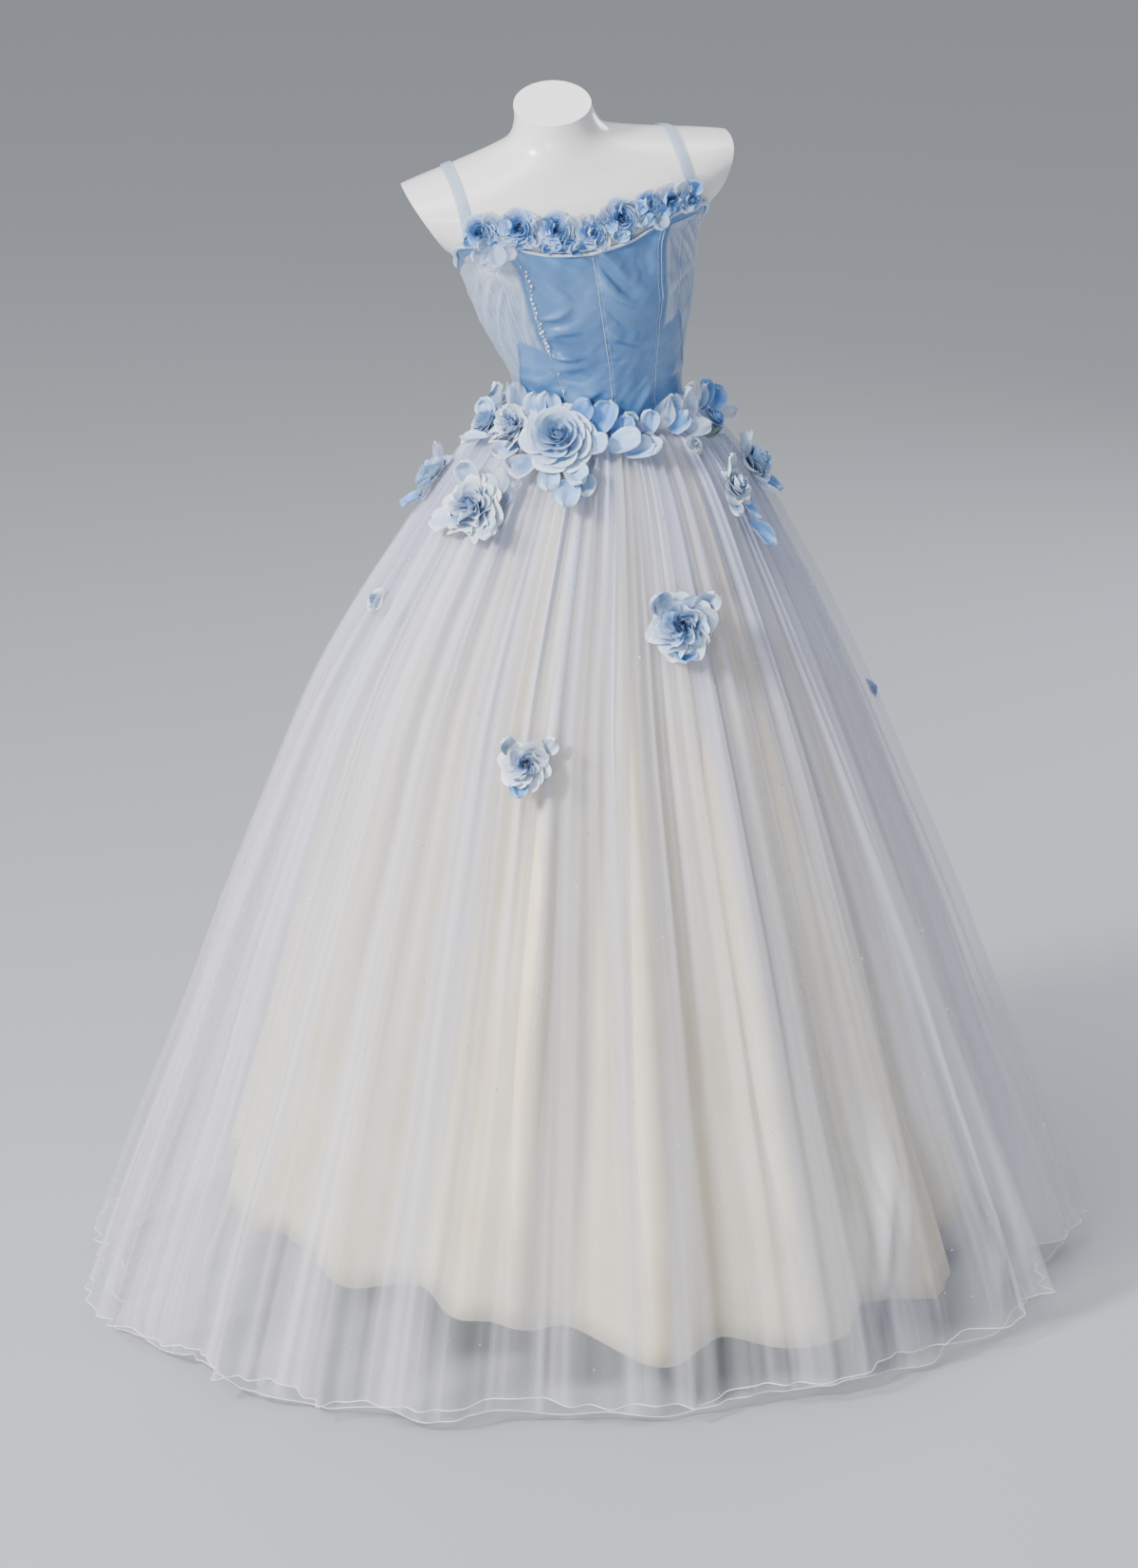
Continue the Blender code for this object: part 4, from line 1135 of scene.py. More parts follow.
@dataclass
class SideDrapes:
    """Sheer organza laid over each side front, in ridges that fan from the princess seam."""

    finishes: Finishes
    bodice: Bodice
    first: float = 5.15
    last: float = 12.0
    out: float = 0.0019
    columns: int = 90
    rows: int = 100
    cut_width: float = 0.16
    # Lower edge of the drape: panel column and share
    lower_edge: SmoothTable = field(
        default_factory=lambda: SmoothTable(
            (5.0, 5.6, 6.2, 7.0, 7.8, 8.6, 9.6, 12.0), (0.40, 0.45, 0.47, 0.37, 0.25, 0.13, 0.02, 0.01)
        )
    )

    def fan(self, column: Array, share: Array, sign: float) -> Array:
        """Rise of the drape's folds, which fan out from the top of the princess seam."""
        across = (column - 4.6) * self.bodice.column_metres
        down = (1.04 - share) * self.bodice.height_metres
        spoke = np.degrees(np.arctan2(across, down))
        reach = np.hypot(across, down)
        rng = np.random.RandomState(21 if sign < 0.0 else 22)
        rise = no_rise(column, share)
        for centre in np.arange(2.0, 84.0, 6.2):
            centre += rng.uniform(-2.2, 2.2)
            width = rng.uniform(1.2, 3.0)
            height = rng.uniform(0.0012, 0.0048)
            start = rng.uniform(0.005, 0.045)
            grown = smooth_share((reach - start) / 0.05)
            rise += height * grown * bell(spoke - centre, width)
        return rise * (1.0 - 0.85 * smooth_share((column - 7.0) / 2.2))

    def build(self) -> None:
        """Makes the right and the left drape."""
        for side, sign in (("right", -1.0), ("left", 1.0)):
            fine = np.linspace(self.first, self.last, self.columns)
            low = self.lower_edge.at(fine)[None, :]
            step = np.linspace(0.0, 1.0, self.rows)[:, None]
            shares = lerp(low, 0.955, step)
            shares = shares + 0.006 * np.sin(fine[None, :] * 5.0) * (1.0 - step) ** 6
            order = 1 if sign > 0.0 else -1
            columns = (sign * fine)[::order][None, :] + np.zeros_like(shares)
            shares = shares[:, ::order]
            rise = self.fan(np.abs(columns), shares, sign)
            rise = np.maximum(rise, self.bodice.crease_rise(columns, shares) + 0.0008)
            grid = self.bodice.point(columns, shares, self.out + rise)
            thick = 0.8 + 380.0 * rise
            fade = smooth_share(step / 0.07) * smooth_share((np.abs(columns) - self.first) / 0.25 + 0.35)
            metres = np.abs(columns) * self.bodice.column_metres
            cloth = stacked(metres, (1.0 - shares) * DRAPE_DROP, thick * fade)
            piece = sheet_piece(f"side_organza_{side}", grid, self.finishes.organza, cloth)
            dress_piece(piece, [f"side_drape_{side}"])
            area = grid_area(grid)


@dataclass
class Straps:
    """Two sheer straps over the form's shoulders."""

    finishes: Finishes
    width: float = 0.013
    front_side: float = 0.130
    back_side: float = 0.100
    clearance: float = 0.0013
    wall: float = 0.0007
    foot_gap: float = 0.0009
    steps: int = 60
    across: int = 9

    def ridge_up(self, side: float) -> float:
        """Height where the shoulder's ridge is as wide as a side offset."""
        ups = np.linspace(0.262, 0.320, 2000)
        wide = TORSO.tables["side"].at(ups)
        return float(ups[np.argmax(wide <= side)])

    def foot_up(self, side: float, front: bool) -> float:
        """Height just above the neckline at a side offset."""
        ups = np.linspace(0.18, 0.26, 1601)
        wide = np.maximum(TORSO.tables["side"].at(ups) + 0.0015, side)
        angle = np.degrees(np.arcsin(np.minimum(side / wide, 1.0)))
        angle = angle if front else 180.0 - angle
        return float(ups[np.argmax((ups > neckline_up(angle) + self.foot_gap) & (wide > side))])

    def line(self, offset: float) -> Array:
        """Points on the form from the front neckline over the shoulder to the back one."""
        ridge = self.ridge_up(self.front_side + offset)
        runs = []
        for front, foot_side in ((True, self.front_side), (False, self.back_side)):
            share = 1.0 - (1.0 - np.linspace(0.0, 1.0, self.steps + 1)) ** 2
            up = lerp(self.foot_up(foot_side + offset, front), ridge, share)
            side = lerp(foot_side, self.front_side, share) + offset
            wide = TORSO.tables["side"].at(up)
            deep = TORSO.tables["front" if front else "back"].at(up)
            if front:
                rise = TORSO.bust(np.degrees(np.arcsin(np.clip(side / wide, 0.0, 1.0))), up)
                wide, deep = wide + rise, deep + rise
            back = deep * np.sqrt(np.clip(1.0 - (side / wide) ** 2, 0.0, 1.0))
            run = np.stack([side, -back if front else back, up], axis=-1)
            runs.append(run if front else run[-2::-1])
        return np.concatenate(runs)

    def build(self) -> None:
        """Makes both straps as thin closed ribbons with a finished edge."""
        offsets = np.linspace(-self.width / 2.0, self.width / 2.0, self.across)
        lines = [self.line(offset) for offset in offsets]
        for side, sign in (("right", -1.0), ("left", 1.0)):
            grid = np.stack([TORSO.placed(sign * run[:, 0], run[:, 1], run[:, 2]) for run in lines], axis=1)
            along = np.gradient(grid, axis=0)
            across = np.gradient(grid, axis=1) * sign
            normal = np.cross(across, along)
            normal /= np.linalg.norm(normal, axis=-1, keepdims=True)
            arch = 0.0007 * (1.0 - np.linspace(-1.0, 1.0, self.across) ** 2)[None, :, None]
            inner = grid + normal * (self.clearance + arch)
            outer = grid + normal * (self.clearance + arch + self.wall)
            if sign < 0.0:
                inner, outer = inner[:, ::-1], outer[:, ::-1]
            along = np.linspace(0.0, STRAP_LENGTH, grid.shape[0])[:, None]
            cloth = stacked(offsets[None, :], along, np.array(1.0))
            piece = wall_piece(f"strap_ribbon_{side}", inner, outer, self.finishes.ribbon, cloth)
            dress_piece(piece, [f"strap_{side}"])
            area = grid_area(outer)


# Skirt

@dataclass(frozen=True)
class Layer:
    """One layer of the skirt, from the waist seam to its hem.

    It starts a little out from the form. Its gathers wave by their own size at the seam, below
    it and at the hem, and it hangs inside the outer net by the insets.
    """

    name: str
    node: str
    is_net: bool
    seed: int
    gathers: int
    pleats: int
    hem: SmoothTable
    start: float
    wave_seam: float
    wave_top: float
    wave_hem: float
    inset_top: float = 0.0
    inset_front: float = 0.0
    inset_side: float = 0.0


@dataclass
class SkirtShape:
    """Plan sizes and folds that every layer of the skirt shares."""

    hem_centre: tuple[float, float] = (-0.018, 0.004)
    centre_share: float = 0.35
    fold_count: int = 13
    fold_depth: float = 0.008
    first_ring: float = 0.022
    # Height, half width, depth to the front and depth to the back of the outer tulle
    rings: tuple[tuple[float, float, float, float], ...] = (
        (0.037, 0.610, 0.430, 0.556), (0.188, 0.556, 0.400, 0.505), (0.339, 0.496, 0.360, 0.448),
        (0.487, 0.442, 0.323, 0.397), (0.633, 0.384, 0.283, 0.343), (0.777, 0.3245, 0.242, 0.285),
        (0.884, 0.270, 0.205, 0.235), (0.954, 0.2295, 0.177, 0.195), (1.012, 0.1955, 0.153, 0.162),
        (1.050, 0.171, 0.136, 0.142), (1.093, 0.138, 0.112, 0.116), (1.135, 0.108, 0.095, 0.098),
    )
    # Large folds: where, how wide in degrees, and how far out or in at the hem
    folds: tuple[tuple[float, float, float], ...] = (
        (72, 7, -0.040), (88, 8, 0.018), (-60, 7, -0.018), (-46, 6, 0.014), (-22, 7, 0.010),
        (20, 8, 0.012), (48, 7, 0.010), (140, 10, -0.020), (165, 9, 0.016), (-150, 11, -0.018),
        (-118, 9, 0.014),
    )
    # The lining's own folds: angle at the waist and at the hem, width, and how far out or in
    lining_folds: tuple[tuple[float, float, float, float], ...] = (
        (-56, -66, 8, 0.016), (-44, -52, 5, -0.015), (-34, -41, 7, 0.018), (-25, -30, 4, -0.014),
        (-12, -21, 6, 0.019), (2, -10, 4, -0.018), (4, 1, 5, 0.017), (12, 12, 4, -0.014),
        (18, 23, 6, 0.016), (27, 35, 5, -0.018), (36, 47, 7, 0.018), (48, 60, 6, -0.013),
        (62, 75, 8, 0.014), (95, 102, 8, -0.015), (122, 120, 9, 0.016), (148, 150, 8, -0.014),
        (172, 170, 9, 0.016), (-160, -156, 8, -0.014), (-130, -134, 9, 0.016),
        (-98, -104, 9, -0.015),
    )
    # Closer or opener net: angle, width, share where it starts, and strength
    net_bands: tuple[tuple[float, float, float, float], ...] = (
        (-66, 6, 0.1, 0.45), (-48, 3, 0.5, -0.55), (-30, 4.5, 0, 0.5), (-16, 3, 0.3, -0.5),
        (-3, 2.5, 0, 0.45), (9, 3.5, 0.45, -0.5), (22, 3, 0, 0.4), (31, 4, 0.6, 0.55),
        (44.5, 2.6, 0.7, -1.5), (53, 4.5, 0.3, 0.65), (76, 5, 0.2, 0.4),
    )
    # Folds of the outer net whose tips are pinched at the hem: angle, width and rise
    pinches: tuple[tuple[float, float, float], ...] = (
        (-51.5, 2.6, 0.030), (-37.5, 2, 0.026), (4, 2.4, 0.018), (57, 2.4, 0.028),
    )
    # Crumpled bunches of the inner net: angle, width, share, share width and rise
    bunches: tuple[tuple[float, float, float, float, float], ...] = (
        (31, 3.4, 0.86, 0.07, 0.020), (35.5, 2.4, 0.79, 0.06, 0.016), (52, 3.2, 0.90, 0.06, 0.018),
        (-62, 3.6, 0.88, 0.06, 0.016),
    )
    # Streaks of closer net: width in degrees and weight
    streak_widths: tuple[tuple[float, float], ...] = ((0.7, 0.30), (1.8, 0.42), (5.0, 0.50), (15.0, 0.40))
    streak_strength: float = 0.9
    # How much closer the net lies for each metre that a bunch rises
    bunch_density: float = 28.0
    # Degrees from its centre beyond which a pleat is too faint to work out
    pleat_reach: float = 14.0
    waist_depth: float = 1.8
    lining_depth: float = 1.45
    hem_wave: float = 0.0045
    tables: dict[str, SmoothTable] = field(default_factory=dict)

    def __post_init__(self) -> None:
        """Turns the rings' columns into smooth curves."""
        self.tables.update(section_tables(self.rings))

    def fold_rise(self, angle: Array, share: Array) -> Array:
        """Rise of the large folds, which open towards the hem."""
        turn = np.radians(self.fold_count * angle + 40.0 * np.sin(np.radians(3.0 * angle)))
        rise = self.fold_depth * np.cos(turn)
        for place, width, height in self.folds:
            rise = rise + height * bell(angle_from(angle, place), width)
        return rise * share**1.5

    def gather_number(self, layer: Layer, angle: Array) -> Array:
        """Count of gathers round to an angle, unevenly spaced."""
        warp = 1.2 * np.sin(np.radians(7.0 * angle) + layer.seed)
        warp = warp + 0.8 * np.sin(np.radians(19.0 * angle) + 2.0)
        return (angle + warp) * layer.gathers / FULL_TURN

    def gather_rise(self, layer: Layer, angle: Array, share: Array) -> Array:
        """Rise of the gathers, some much stronger than the next."""
        number = self.gather_number(layer, angle)
        before = np.floor(number)

        def uneven(count: Array) -> Array:
            """Repeatable unevenness of one gather."""
            count = (count + layer.gathers / 2.0) % layer.gathers - layer.gathers / 2.0
            return 0.6 * np.sin(2.4 * count + 0.7) + 0.4 * np.sin(5.3 * count)

        strength = lerp(uneven(before), uneven(before + 1.0), smooth_share(number - before))
        size = lerp(self.waist_depth * layer.wave_top, 0.7 * layer.wave_hem, share)
        return size * np.cos(2.0 * np.pi * number) * (0.85 + 0.75 * strength)

    def pleat_rise(self, layer: Layer, angle: Array, share: Array) -> Array:
        """Rise of the uneven pleats, fine and broad, that run down from the waist and fade out."""
        rng = np.random.RandomState(layer.seed)
        rise = no_rise(angle, share)
        for number in range(layer.pleats):
            centre = rng.uniform(-180.0, 180.0)
            broad = number % 4 == 0
            width = rng.uniform(1.1, 2.9) if broad else rng.uniform(0.35, 0.85)
            height = rng.uniform(0.006, 0.018) if broad else rng.uniform(0.0015, 0.0065)
            height *= -0.8 if rng.uniform() < 0.35 else 1.0
            begin = rng.uniform(-0.28, 0.2)
            fade = rng.uniform(0.5, 1.7)
            wander = rng.uniform(-3.0, 3.0)
            grow = rng.uniform(0.3, 1.2)
            near = np.abs(angle_from(angle[0], centre)) < self.pleat_reach
            off = angle_from(angle[:, near], centre) + wander * (share - 0.3) * share
            strength = smooth_share((share - begin) / 0.3) * smooth_share((fade - share) / 0.4 + 0.5)
            rise[:, near] += height * strength * bell(off, width * (1.0 + grow * share))
        return rise

    def lining_rise(self, angle: Array, share: Array) -> Array:
        """Rise of the lining's own large soft folds, some of which run aslant."""
        rise = no_rise(angle, share)
        for top, hem, width, height in self.lining_folds:
            off = angle_from(angle_from(angle, 0.0) - lerp(top, hem, share), 0.0)
            rise = rise + self.lining_depth * height * bell(off, width * (0.55 + 0.4 * share))
        return rise * smooth_share(share * 1.3)

    def pinch_rise(self, angle: Array, share: Array) -> Array:
        """Rise of the outer net's folds that narrow to a pinched tip at the hem."""
        rise = no_rise(angle, share)
        for place, width, height in self.pinches:
            narrowed = width * (1.5 - 1.1 * share**3)
            rise = rise + height * share**2 * bell(angle_from(angle, place), narrowed)
        return rise

    def bunch_rise(self, angle: Array, share: Array) -> Array:
        """Rise of the inner net's crumpled bunches."""
        rise = no_rise(angle, share)
        for place, width, low, tall, height in self.bunches:
            off = angle_from(angle, place) + 18.0 * (share - low)
            near = bell(off, width) * bell(share - low, tall)
            rise = rise + height * near * (1.0 + 0.25 * np.sin(1.6 * off + 30.0 * share))
        return rise

    def streaks(self, layer: Layer, angle: Array, share: Array) -> Array:
        """How much closer the net lies in some streaks than in others, down its fall."""
        rng = np.random.RandomState(layer.seed + 100)
        total = no_rise(angle, share)
        for width, weight in self.streak_widths:
            count = int(FULL_TURN / width)
            high, low = rng.normal(size=count), rng.normal(size=count)
            place = (angle + 180.0) / FULL_TURN * count + rng.uniform(-1.5, 1.5) * share
            first = np.floor(place).astype(int)
            step = smooth_share(place - first)
            at_top = lerp(high[first % count], high[(first + 1) % count], step)
            at_hem = lerp(low[first % count], low[(first + 1) % count], step)
            total = total + weight * lerp(at_top, at_hem, smooth_share(share))
        total = self.streak_strength * total
        for centre, width, start, strength in self.net_bands:
            near = bell(angle_from(angle, centre), width)
            total = total + strength * near * smooth_share((share - start) / 0.3)
        if layer is not TOP_LAYER:
            total = total + self.bunch_density * self.bunch_rise(angle, share)
        return np.exp(total)

    def grid(self, layer: Layer, angles: Array, shares: Array) -> Array:
        """Points of a layer.

        Args:
            layer: The layer's sizes.
            angles: Angles of the grid's columns.
            shares: Shares of the grid's rows, 0 at the waist seam and 1 at the hem.

        Returns:
            Points, rows by columns.
        """
        angle = angles[None, :]
        share = shares[:, None]
        turn = np.radians(angle)
        number = self.gather_number(layer, angle)
        gather = layer.wave_seam * (0.5 + 0.5 * np.cos(2.0 * np.pi * number))
        seam = TORSO.point(angle, seam_up(angle), layer.start + gather)
        ring_share = np.maximum(share, self.first_ring)
        drift = np.sin(np.radians(9.0 * angle) + layer.seed)
        drift = drift + 0.7 * np.sin(np.radians(25.0 * angle) + 2.0 * layer.seed)
        hem = layer.hem.at(angle_from(angle, 0.0)) + self.hem_wave * drift
        height = lerp(seam[..., 2], hem, ring_share)
        side, front, back = (self.tables[label].at(height) for label in ("side", "front", "back"))
        depth = np.where(np.cos(turn) > 0.0, front, back)
        inset = lerp(layer.inset_front, layer.inset_side, np.sin(turn) ** 2)
        rise = self.gather_rise(layer, angle, ring_share) + self.fold_rise(angle, ring_share)
        rise = rise + self.pleat_rise(layer, angle + 0.0 * ring_share, ring_share)
        if not layer.is_net:
            rise = rise + self.lining_rise(angle, ring_share)
        elif layer is TOP_LAYER:
            rise = rise + self.pinch_rise(angle, ring_share)
        else:
            rise = rise + self.bunch_rise(angle, ring_share)
        rise = rise - lerp(layer.inset_top, inset, ring_share)
        waist = TORSO.centre(np.array(0.0))
        shift = smooth_share(ring_share / self.centre_share)
        x, y = (lerp(waist[k], self.hem_centre[k], shift) for k in (0, 1))
        ring = stacked(x + (side + rise) * np.sin(turn), y - (depth + rise) * np.cos(turn), height)
        top = np.clip(share / self.first_ring, 0.0, 1.0)[..., None]
        return lerp(seam, ring, top)


TOP_HEM = SmoothTable((-180.0, -60.0, 20.0, 70.0, 180.0), (0.040, 0.036, 0.030, 0.040, 0.040))
UNDER_HEM = SmoothTable((-180.0, 180.0), (0.012, 0.012))
LINING_HEM = SmoothTable(
    (-180, -90, -40, -20, 0, 20, 90, 180), (0.110, 0.145, 0.140, 0.115, 0.075, 0.055, 0.070, 0.110),
)
SKIRT_LAYERS = (
    Layer(
        "skirt_satin", "skirt_lining", False, 5, 20, 40, LINING_HEM,
        0.0010, 0.0005, 0.0008, 0.006, inset_top=0.015, inset_front=0.045, inset_side=0.140,
    ),
    Layer(
        "net_under", "tulle_under", True, 11, 30, 150, UNDER_HEM,
        0.0035, 0.0005, 0.0012, 0.005, inset_top=0.0085, inset_front=0.020, inset_side=0.024,
    ),
    Layer("net_top", "tulle_top", True, 23, 72, 170, TOP_HEM, 0.0058, 0.0012, 0.0022, 0.007),
)
TOP_LAYER = SKIRT_LAYERS[-1]


@dataclass
class Skirt:
    """Ivory satin lining under two layers of net, each in a front and a back half."""

    finishes: Finishes
    shape: SkirtShape = field(default_factory=SkirtShape)
    net_columns: int = 600
    net_rows: int = 64
    lining_columns: int = 340
    lining_rows: int = 44
    lining_wall: float = 0.0007
    seam_angle: float = 0.02
    # Share of its flat width times length that a half's cloth fills
    filled_share: float = 0.75
    hem_roll_radius: float = 0.0007
    glitter_radius: float = 0.0011
    glitter_density: float = 420.0

    def cloth(self, layer: Layer, grid: Array, angles: Array, shares: Array) -> Array:
        """Cloth coordinates of a layer.

        Args:
            layer: The layer.
            grid: Its points, with the hem in the first row.
            angles: Angles of the columns.
            shares: Shares of the rows.

        Returns:
            Across and down in metres, and how many layers of open net lie over one another.
        """
        lengths = np.linalg.norm(np.diff(grid, axis=1), axis=-1).sum(axis=1)
        across = np.linspace(0.0, lengths[0], grid.shape[1])[None, :]
        gathered = np.clip(lengths[0] / lengths, 1.0, 5.0)[:, None] ** 0.8
        gathered = gathered * self.shape.streaks(layer, angles[None, :], shares[:, None])
        return stacked(across, SKIRT_FALL * shares[:, None], gathered)

    def half(self, layer: Layer, half: str, start: float) -> None:
        """One half of a layer."""
        columns = self.net_columns if layer.is_net else self.lining_columns
        rows = self.net_rows if layer.is_net else self.lining_rows
        shares = np.linspace(1.0, 0.0, rows) ** 1.25
        angles = np.linspace(start + self.seam_angle, start + 180.0 - self.seam_angle, columns)
        grid = self.shape.grid(layer, angles, shares)
        cloth = self.cloth(layer, grid, angles, shares)
        name, nodes = f"{layer.name}_{half}", [f"{layer.node}_{half}"]
        area, hem = grid_area(grid), line_length(grid[0])
        if layer.is_net:
            piece = sheet_piece(name, grid, self.finishes.net, cloth)
            dress_piece(piece, nodes)
            edge = point_cloud("hem_line", grid[0], True)
            tool = cord_tool(self.hem_roll_radius)
            roll = tool.run(f"{layer.name}_hem_{half}", edge, self.finishes.hem_roll)
            dress_piece(roll)
        else:
            normal = np.cross(np.gradient(grid, axis=1), np.gradient(grid, axis=0))
            normal /= np.linalg.norm(normal, axis=-1, keepdims=True)
            inner = grid - self.lining_wall * normal
            piece = wall_piece(name, inner, grid, self.finishes.lining, cloth)
            dress_piece(piece, nodes)

    def glitter(self) -> None:
        """Glitter dots over the outer net."""
        for number, half in enumerate(("front", "back")):
            source = bpy.data.objects[f"{TOP_LAYER.name}_{half}"]
            base = new_object("glitter_ground", source.data.copy())
            tool = glitter_tool(self.glitter_radius, self.glitter_density, 31 + number)
            dress_piece(tool.run(f"net_glitter_{half}", base, self.finishes.glitter))

    def build(self) -> None:
        """Makes every layer and its trims."""
        for layer in SKIRT_LAYERS:
            for half, start in (("front", -90.0), ("back", 90.0)):
                self.half(layer, half, start)
        self.glitter()


# Flowers

class Kind(Enum):
    """Fabric of a flower."""

    BLUE = "blue"
    PALE = "pale"
    WHITE = "white"
    SHEER = "sheer"
    LEAF = "leaf"


@dataclass(frozen=True)
class Bloom:
    """One flower, or one loose petal where petals is 1."""

    name: str
    kind: Kind
    angle: float
    at: float
    size: float
    petals: int
    turn: float
    tip: float
    lift: float = 0.0
    ruffle: float = 0.0


NECKLINE_BLOOMS = (
    Bloom("neckline_rose_1", Kind.BLUE, -34, 0.015, 0.019, 5, 10, 0),
    Bloom("neckline_rose_2", Kind.BLUE, -21, 0.026, 0.021, 5, 50, 0),
    Bloom("neckline_rose_3", Kind.BLUE, -10, 0.026, 0.020, 5, 25, 0),
    Bloom("neckline_rose_4", Kind.BLUE, 1.5, 0.020, 0.018, 5, 0, 0),
    Bloom("neckline_rose_5", Kind.BLUE, 12, 0.025, 0.021, 5, 35, 0),
    Bloom("neckline_rose_6", Kind.BLUE, 21.5, 0.025, 0.0155, 5, 60, 0),
    Bloom("neckline_rose_7", Kind.BLUE, 30, 0.018, 0.0115, 4, 15, 0),
    Bloom("neckline_rose_8", Kind.BLUE, 38.5, 0.008, 0.0135, 4, 40, 0, 0.0026),
)
SKIRT_BLOOMS = (
    Bloom("waist_rose_far_right", Kind.SHEER, -115, 0.014, 0.020, 5, 0, 0, 0.0005),
    Bloom("waist_rose_side", Kind.PALE, -85, 0.020, 0.024, 5, 20, 0),
    Bloom("waist_rose_ruffled", Kind.WHITE, -60, 0.014, 0.027, 6, 0, 5, 0.0006, 0.20),
    Bloom("waist_rose_main", Kind.PALE, -30, 0.016, 0.040, 6, 15, 6, 0.0006),
    Bloom("waist_petal_1", Kind.PALE, -20, 0.050, 0.034, 1, 175, 12),
    Bloom("waist_petal_2", Kind.BLUE, -10, 0.006, 0.032, 1, -20, 30),
    Bloom("waist_petal_3", Kind.PALE, -5, 0.018, 0.034, 1, -75, 14),
    Bloom("waist_petal_4", Kind.PALE, 10, 0.010, 0.024, 1, 10, 30),
    Bloom("waist_petal_5", Kind.WHITE, 10, 0.024, 0.026, 1, -80, 14),
    Bloom("waist_leaf_1", Kind.PALE, 25, 0.010, 0.034, 1, -45, 30),
    Bloom("waist_leaf_2", Kind.WHITE, 45, 0.014, 0.036, 1, -10, 35),
    Bloom("waist_leaf_3", Kind.SHEER, 65, 0.012, 0.028, 1, -30, 40),
    Bloom("waist_leaf_4", Kind.LEAF, 50, 0.030, 0.022, 1, -110, 14),
    Bloom("waist_flower_small", Kind.WHITE, 40, 0.034, 0.011, 4, 0, 0),
    Bloom("waist_rose_shaded", Kind.BLUE, 75, 0.030, 0.017, 5, 0, 0),
    Bloom("skirt_rose_1", Kind.PALE, -100, 0.095, 0.028, 5, 0, 0, 0, 0.14),
    Bloom("skirt_rose_2", Kind.WHITE, -55, 0.095, 0.036, 6, 0, 0, 0, 0.18),
    Bloom("skirt_rose_3", Kind.PALE, 85, 0.090, 0.027, 5, 0, 0, 0, 0.14),
    Bloom("skirt_rose_4", Kind.WHITE, 50, 0.088, 0.022, 5, 0, 0, 0, 0.13),
    Bloom("skirt_petal_4", Kind.BLUE, 50, 0.125, 0.034, 1, 180, 14),
    Bloom("skirt_rose_5", Kind.WHITE, -80, 0.220, 0.014, 4, 0, 0),
    Bloom("skirt_rose_6", Kind.PALE, 15, 0.212, 0.035, 6, 0, 0, 0, 0.17),
    Bloom("skirt_rose_7", Kind.WHITE, -20, 0.355, 0.026, 5, 0, 0, 0, 0.17),
    Bloom("skirt_rose_8", Kind.BLUE, 90, 0.385, 0.012, 4, 0, 0),
)


@dataclass(frozen=True)
class PetalRing:
    """One ring of a rose's petals, in radii of the rose."""

    extra: int
    reach: float
    rim: float
    root_rise: float
    half_turn: float
    flare: float


ROSE_RINGS = (
    PetalRing(0, 1.00, 0.28, 0.05, 50, 0.15),
    PetalRing(0, 0.86, 0.42, 0.09, 50, 0.13),
    PetalRing(0, 0.68, 0.56, 0.15, 54, 0.11),
    PetalRing(-1, 0.50, 0.68, 0.22, 62, 0.08),
    PetalRing(-1, 0.35, 0.77, 0.30, 66, 0.05),
    PetalRing(-2, 0.22, 0.83, 0.38, 82, 0.02),
)


# Loose petals that fill the space round the roses of the waist: angle, drop below the seam and
# size in millimetres, turn and tip
FILL_PETALS = {
    Kind.PALE: (
        (-38, 4, 38, 30, 38), (-18, 20, 36, -95, 22), (-22, 36, 36, -150, 16),
        (-30, 42, 34, 180, 12), (-48, 6, 36, 20, 36), (-80, 18, 32, 60, 25),
        (2, 22, 36, -100, 16), (14, 20, 30, -110, 18), (18, 12, 28, -20, 32),
        (35, 8, 32, -20, 36), (-104, 12, 32, -20, 30), (-12, 46, 32, 160, 12),
    ),
    Kind.BLUE: (
        (-24, 3, 36, -30, 34), (-2, 10, 32, -60, 24), (6, 26, 32, -80, 14),
        (30, 16, 32, -70, 22), (70, 14, 36, -40, 32), (78, 20, 36, -80, 22),
        (86, 104, 36, 180, 14), (52, 104, 34, 165, 14), (-100, 112, 34, 170, 14),
        (16, 226, 36, 175, 14), (-21, 368, 28, 170, 14), (-54, 104, 30, 150, 40),
    ),
    Kind.WHITE: (
        (-38, 36, 36, 140, 16), (-52, 26, 34, 150, 16), (-70, 26, 32, 170, 16),
        (50, 76, 30, 10, 32), (46, 94, 30, 150, 16), (-60, 78, 38, 30, 30),
        (-48, 104, 38, -120, 18), (-62, 108, 38, 140, 18), (12, 200, 36, 30, 28),
        (19, 204, 36, -35, 28), (-23, 346, 28, 35, 28), (-17, 348, 28, -35, 28),
    ),
    Kind.SHEER: (
        (-66, 4, 38, 14, 42), (-74, 6, 38, -10, 42), (-90, 10, 32, 20, 32),
        (56, 8, 34, -20, 36), (84, 30, 34, -120, 16), (80, 78, 36, 20, 28),
        (76, 100, 36, 140, 16), (-50, 78, 36, -30, 30), (-46, 86, 34, -60, 22),
        (-94, 84, 36, 20, 28), (92, 90, 36, -60, 20), (40, 20, 30, -100, 16),
    ),
}


def facing(across: Array, upward: Array) -> Array:
    """Rotation whose third column points out of the cloth and whose second runs up it."""
    out = np.cross(across, upward)
    out = out / np.linalg.norm(out)
    level = across / np.linalg.norm(across)
    return np.stack([level, np.cross(out, level), out], axis=1)


def turned(axis: str, degrees: float) -> Array:
    """Rotation matrix about one axis."""
    return np.array(Matrix.Rotation(math.radians(degrees), 3, axis))


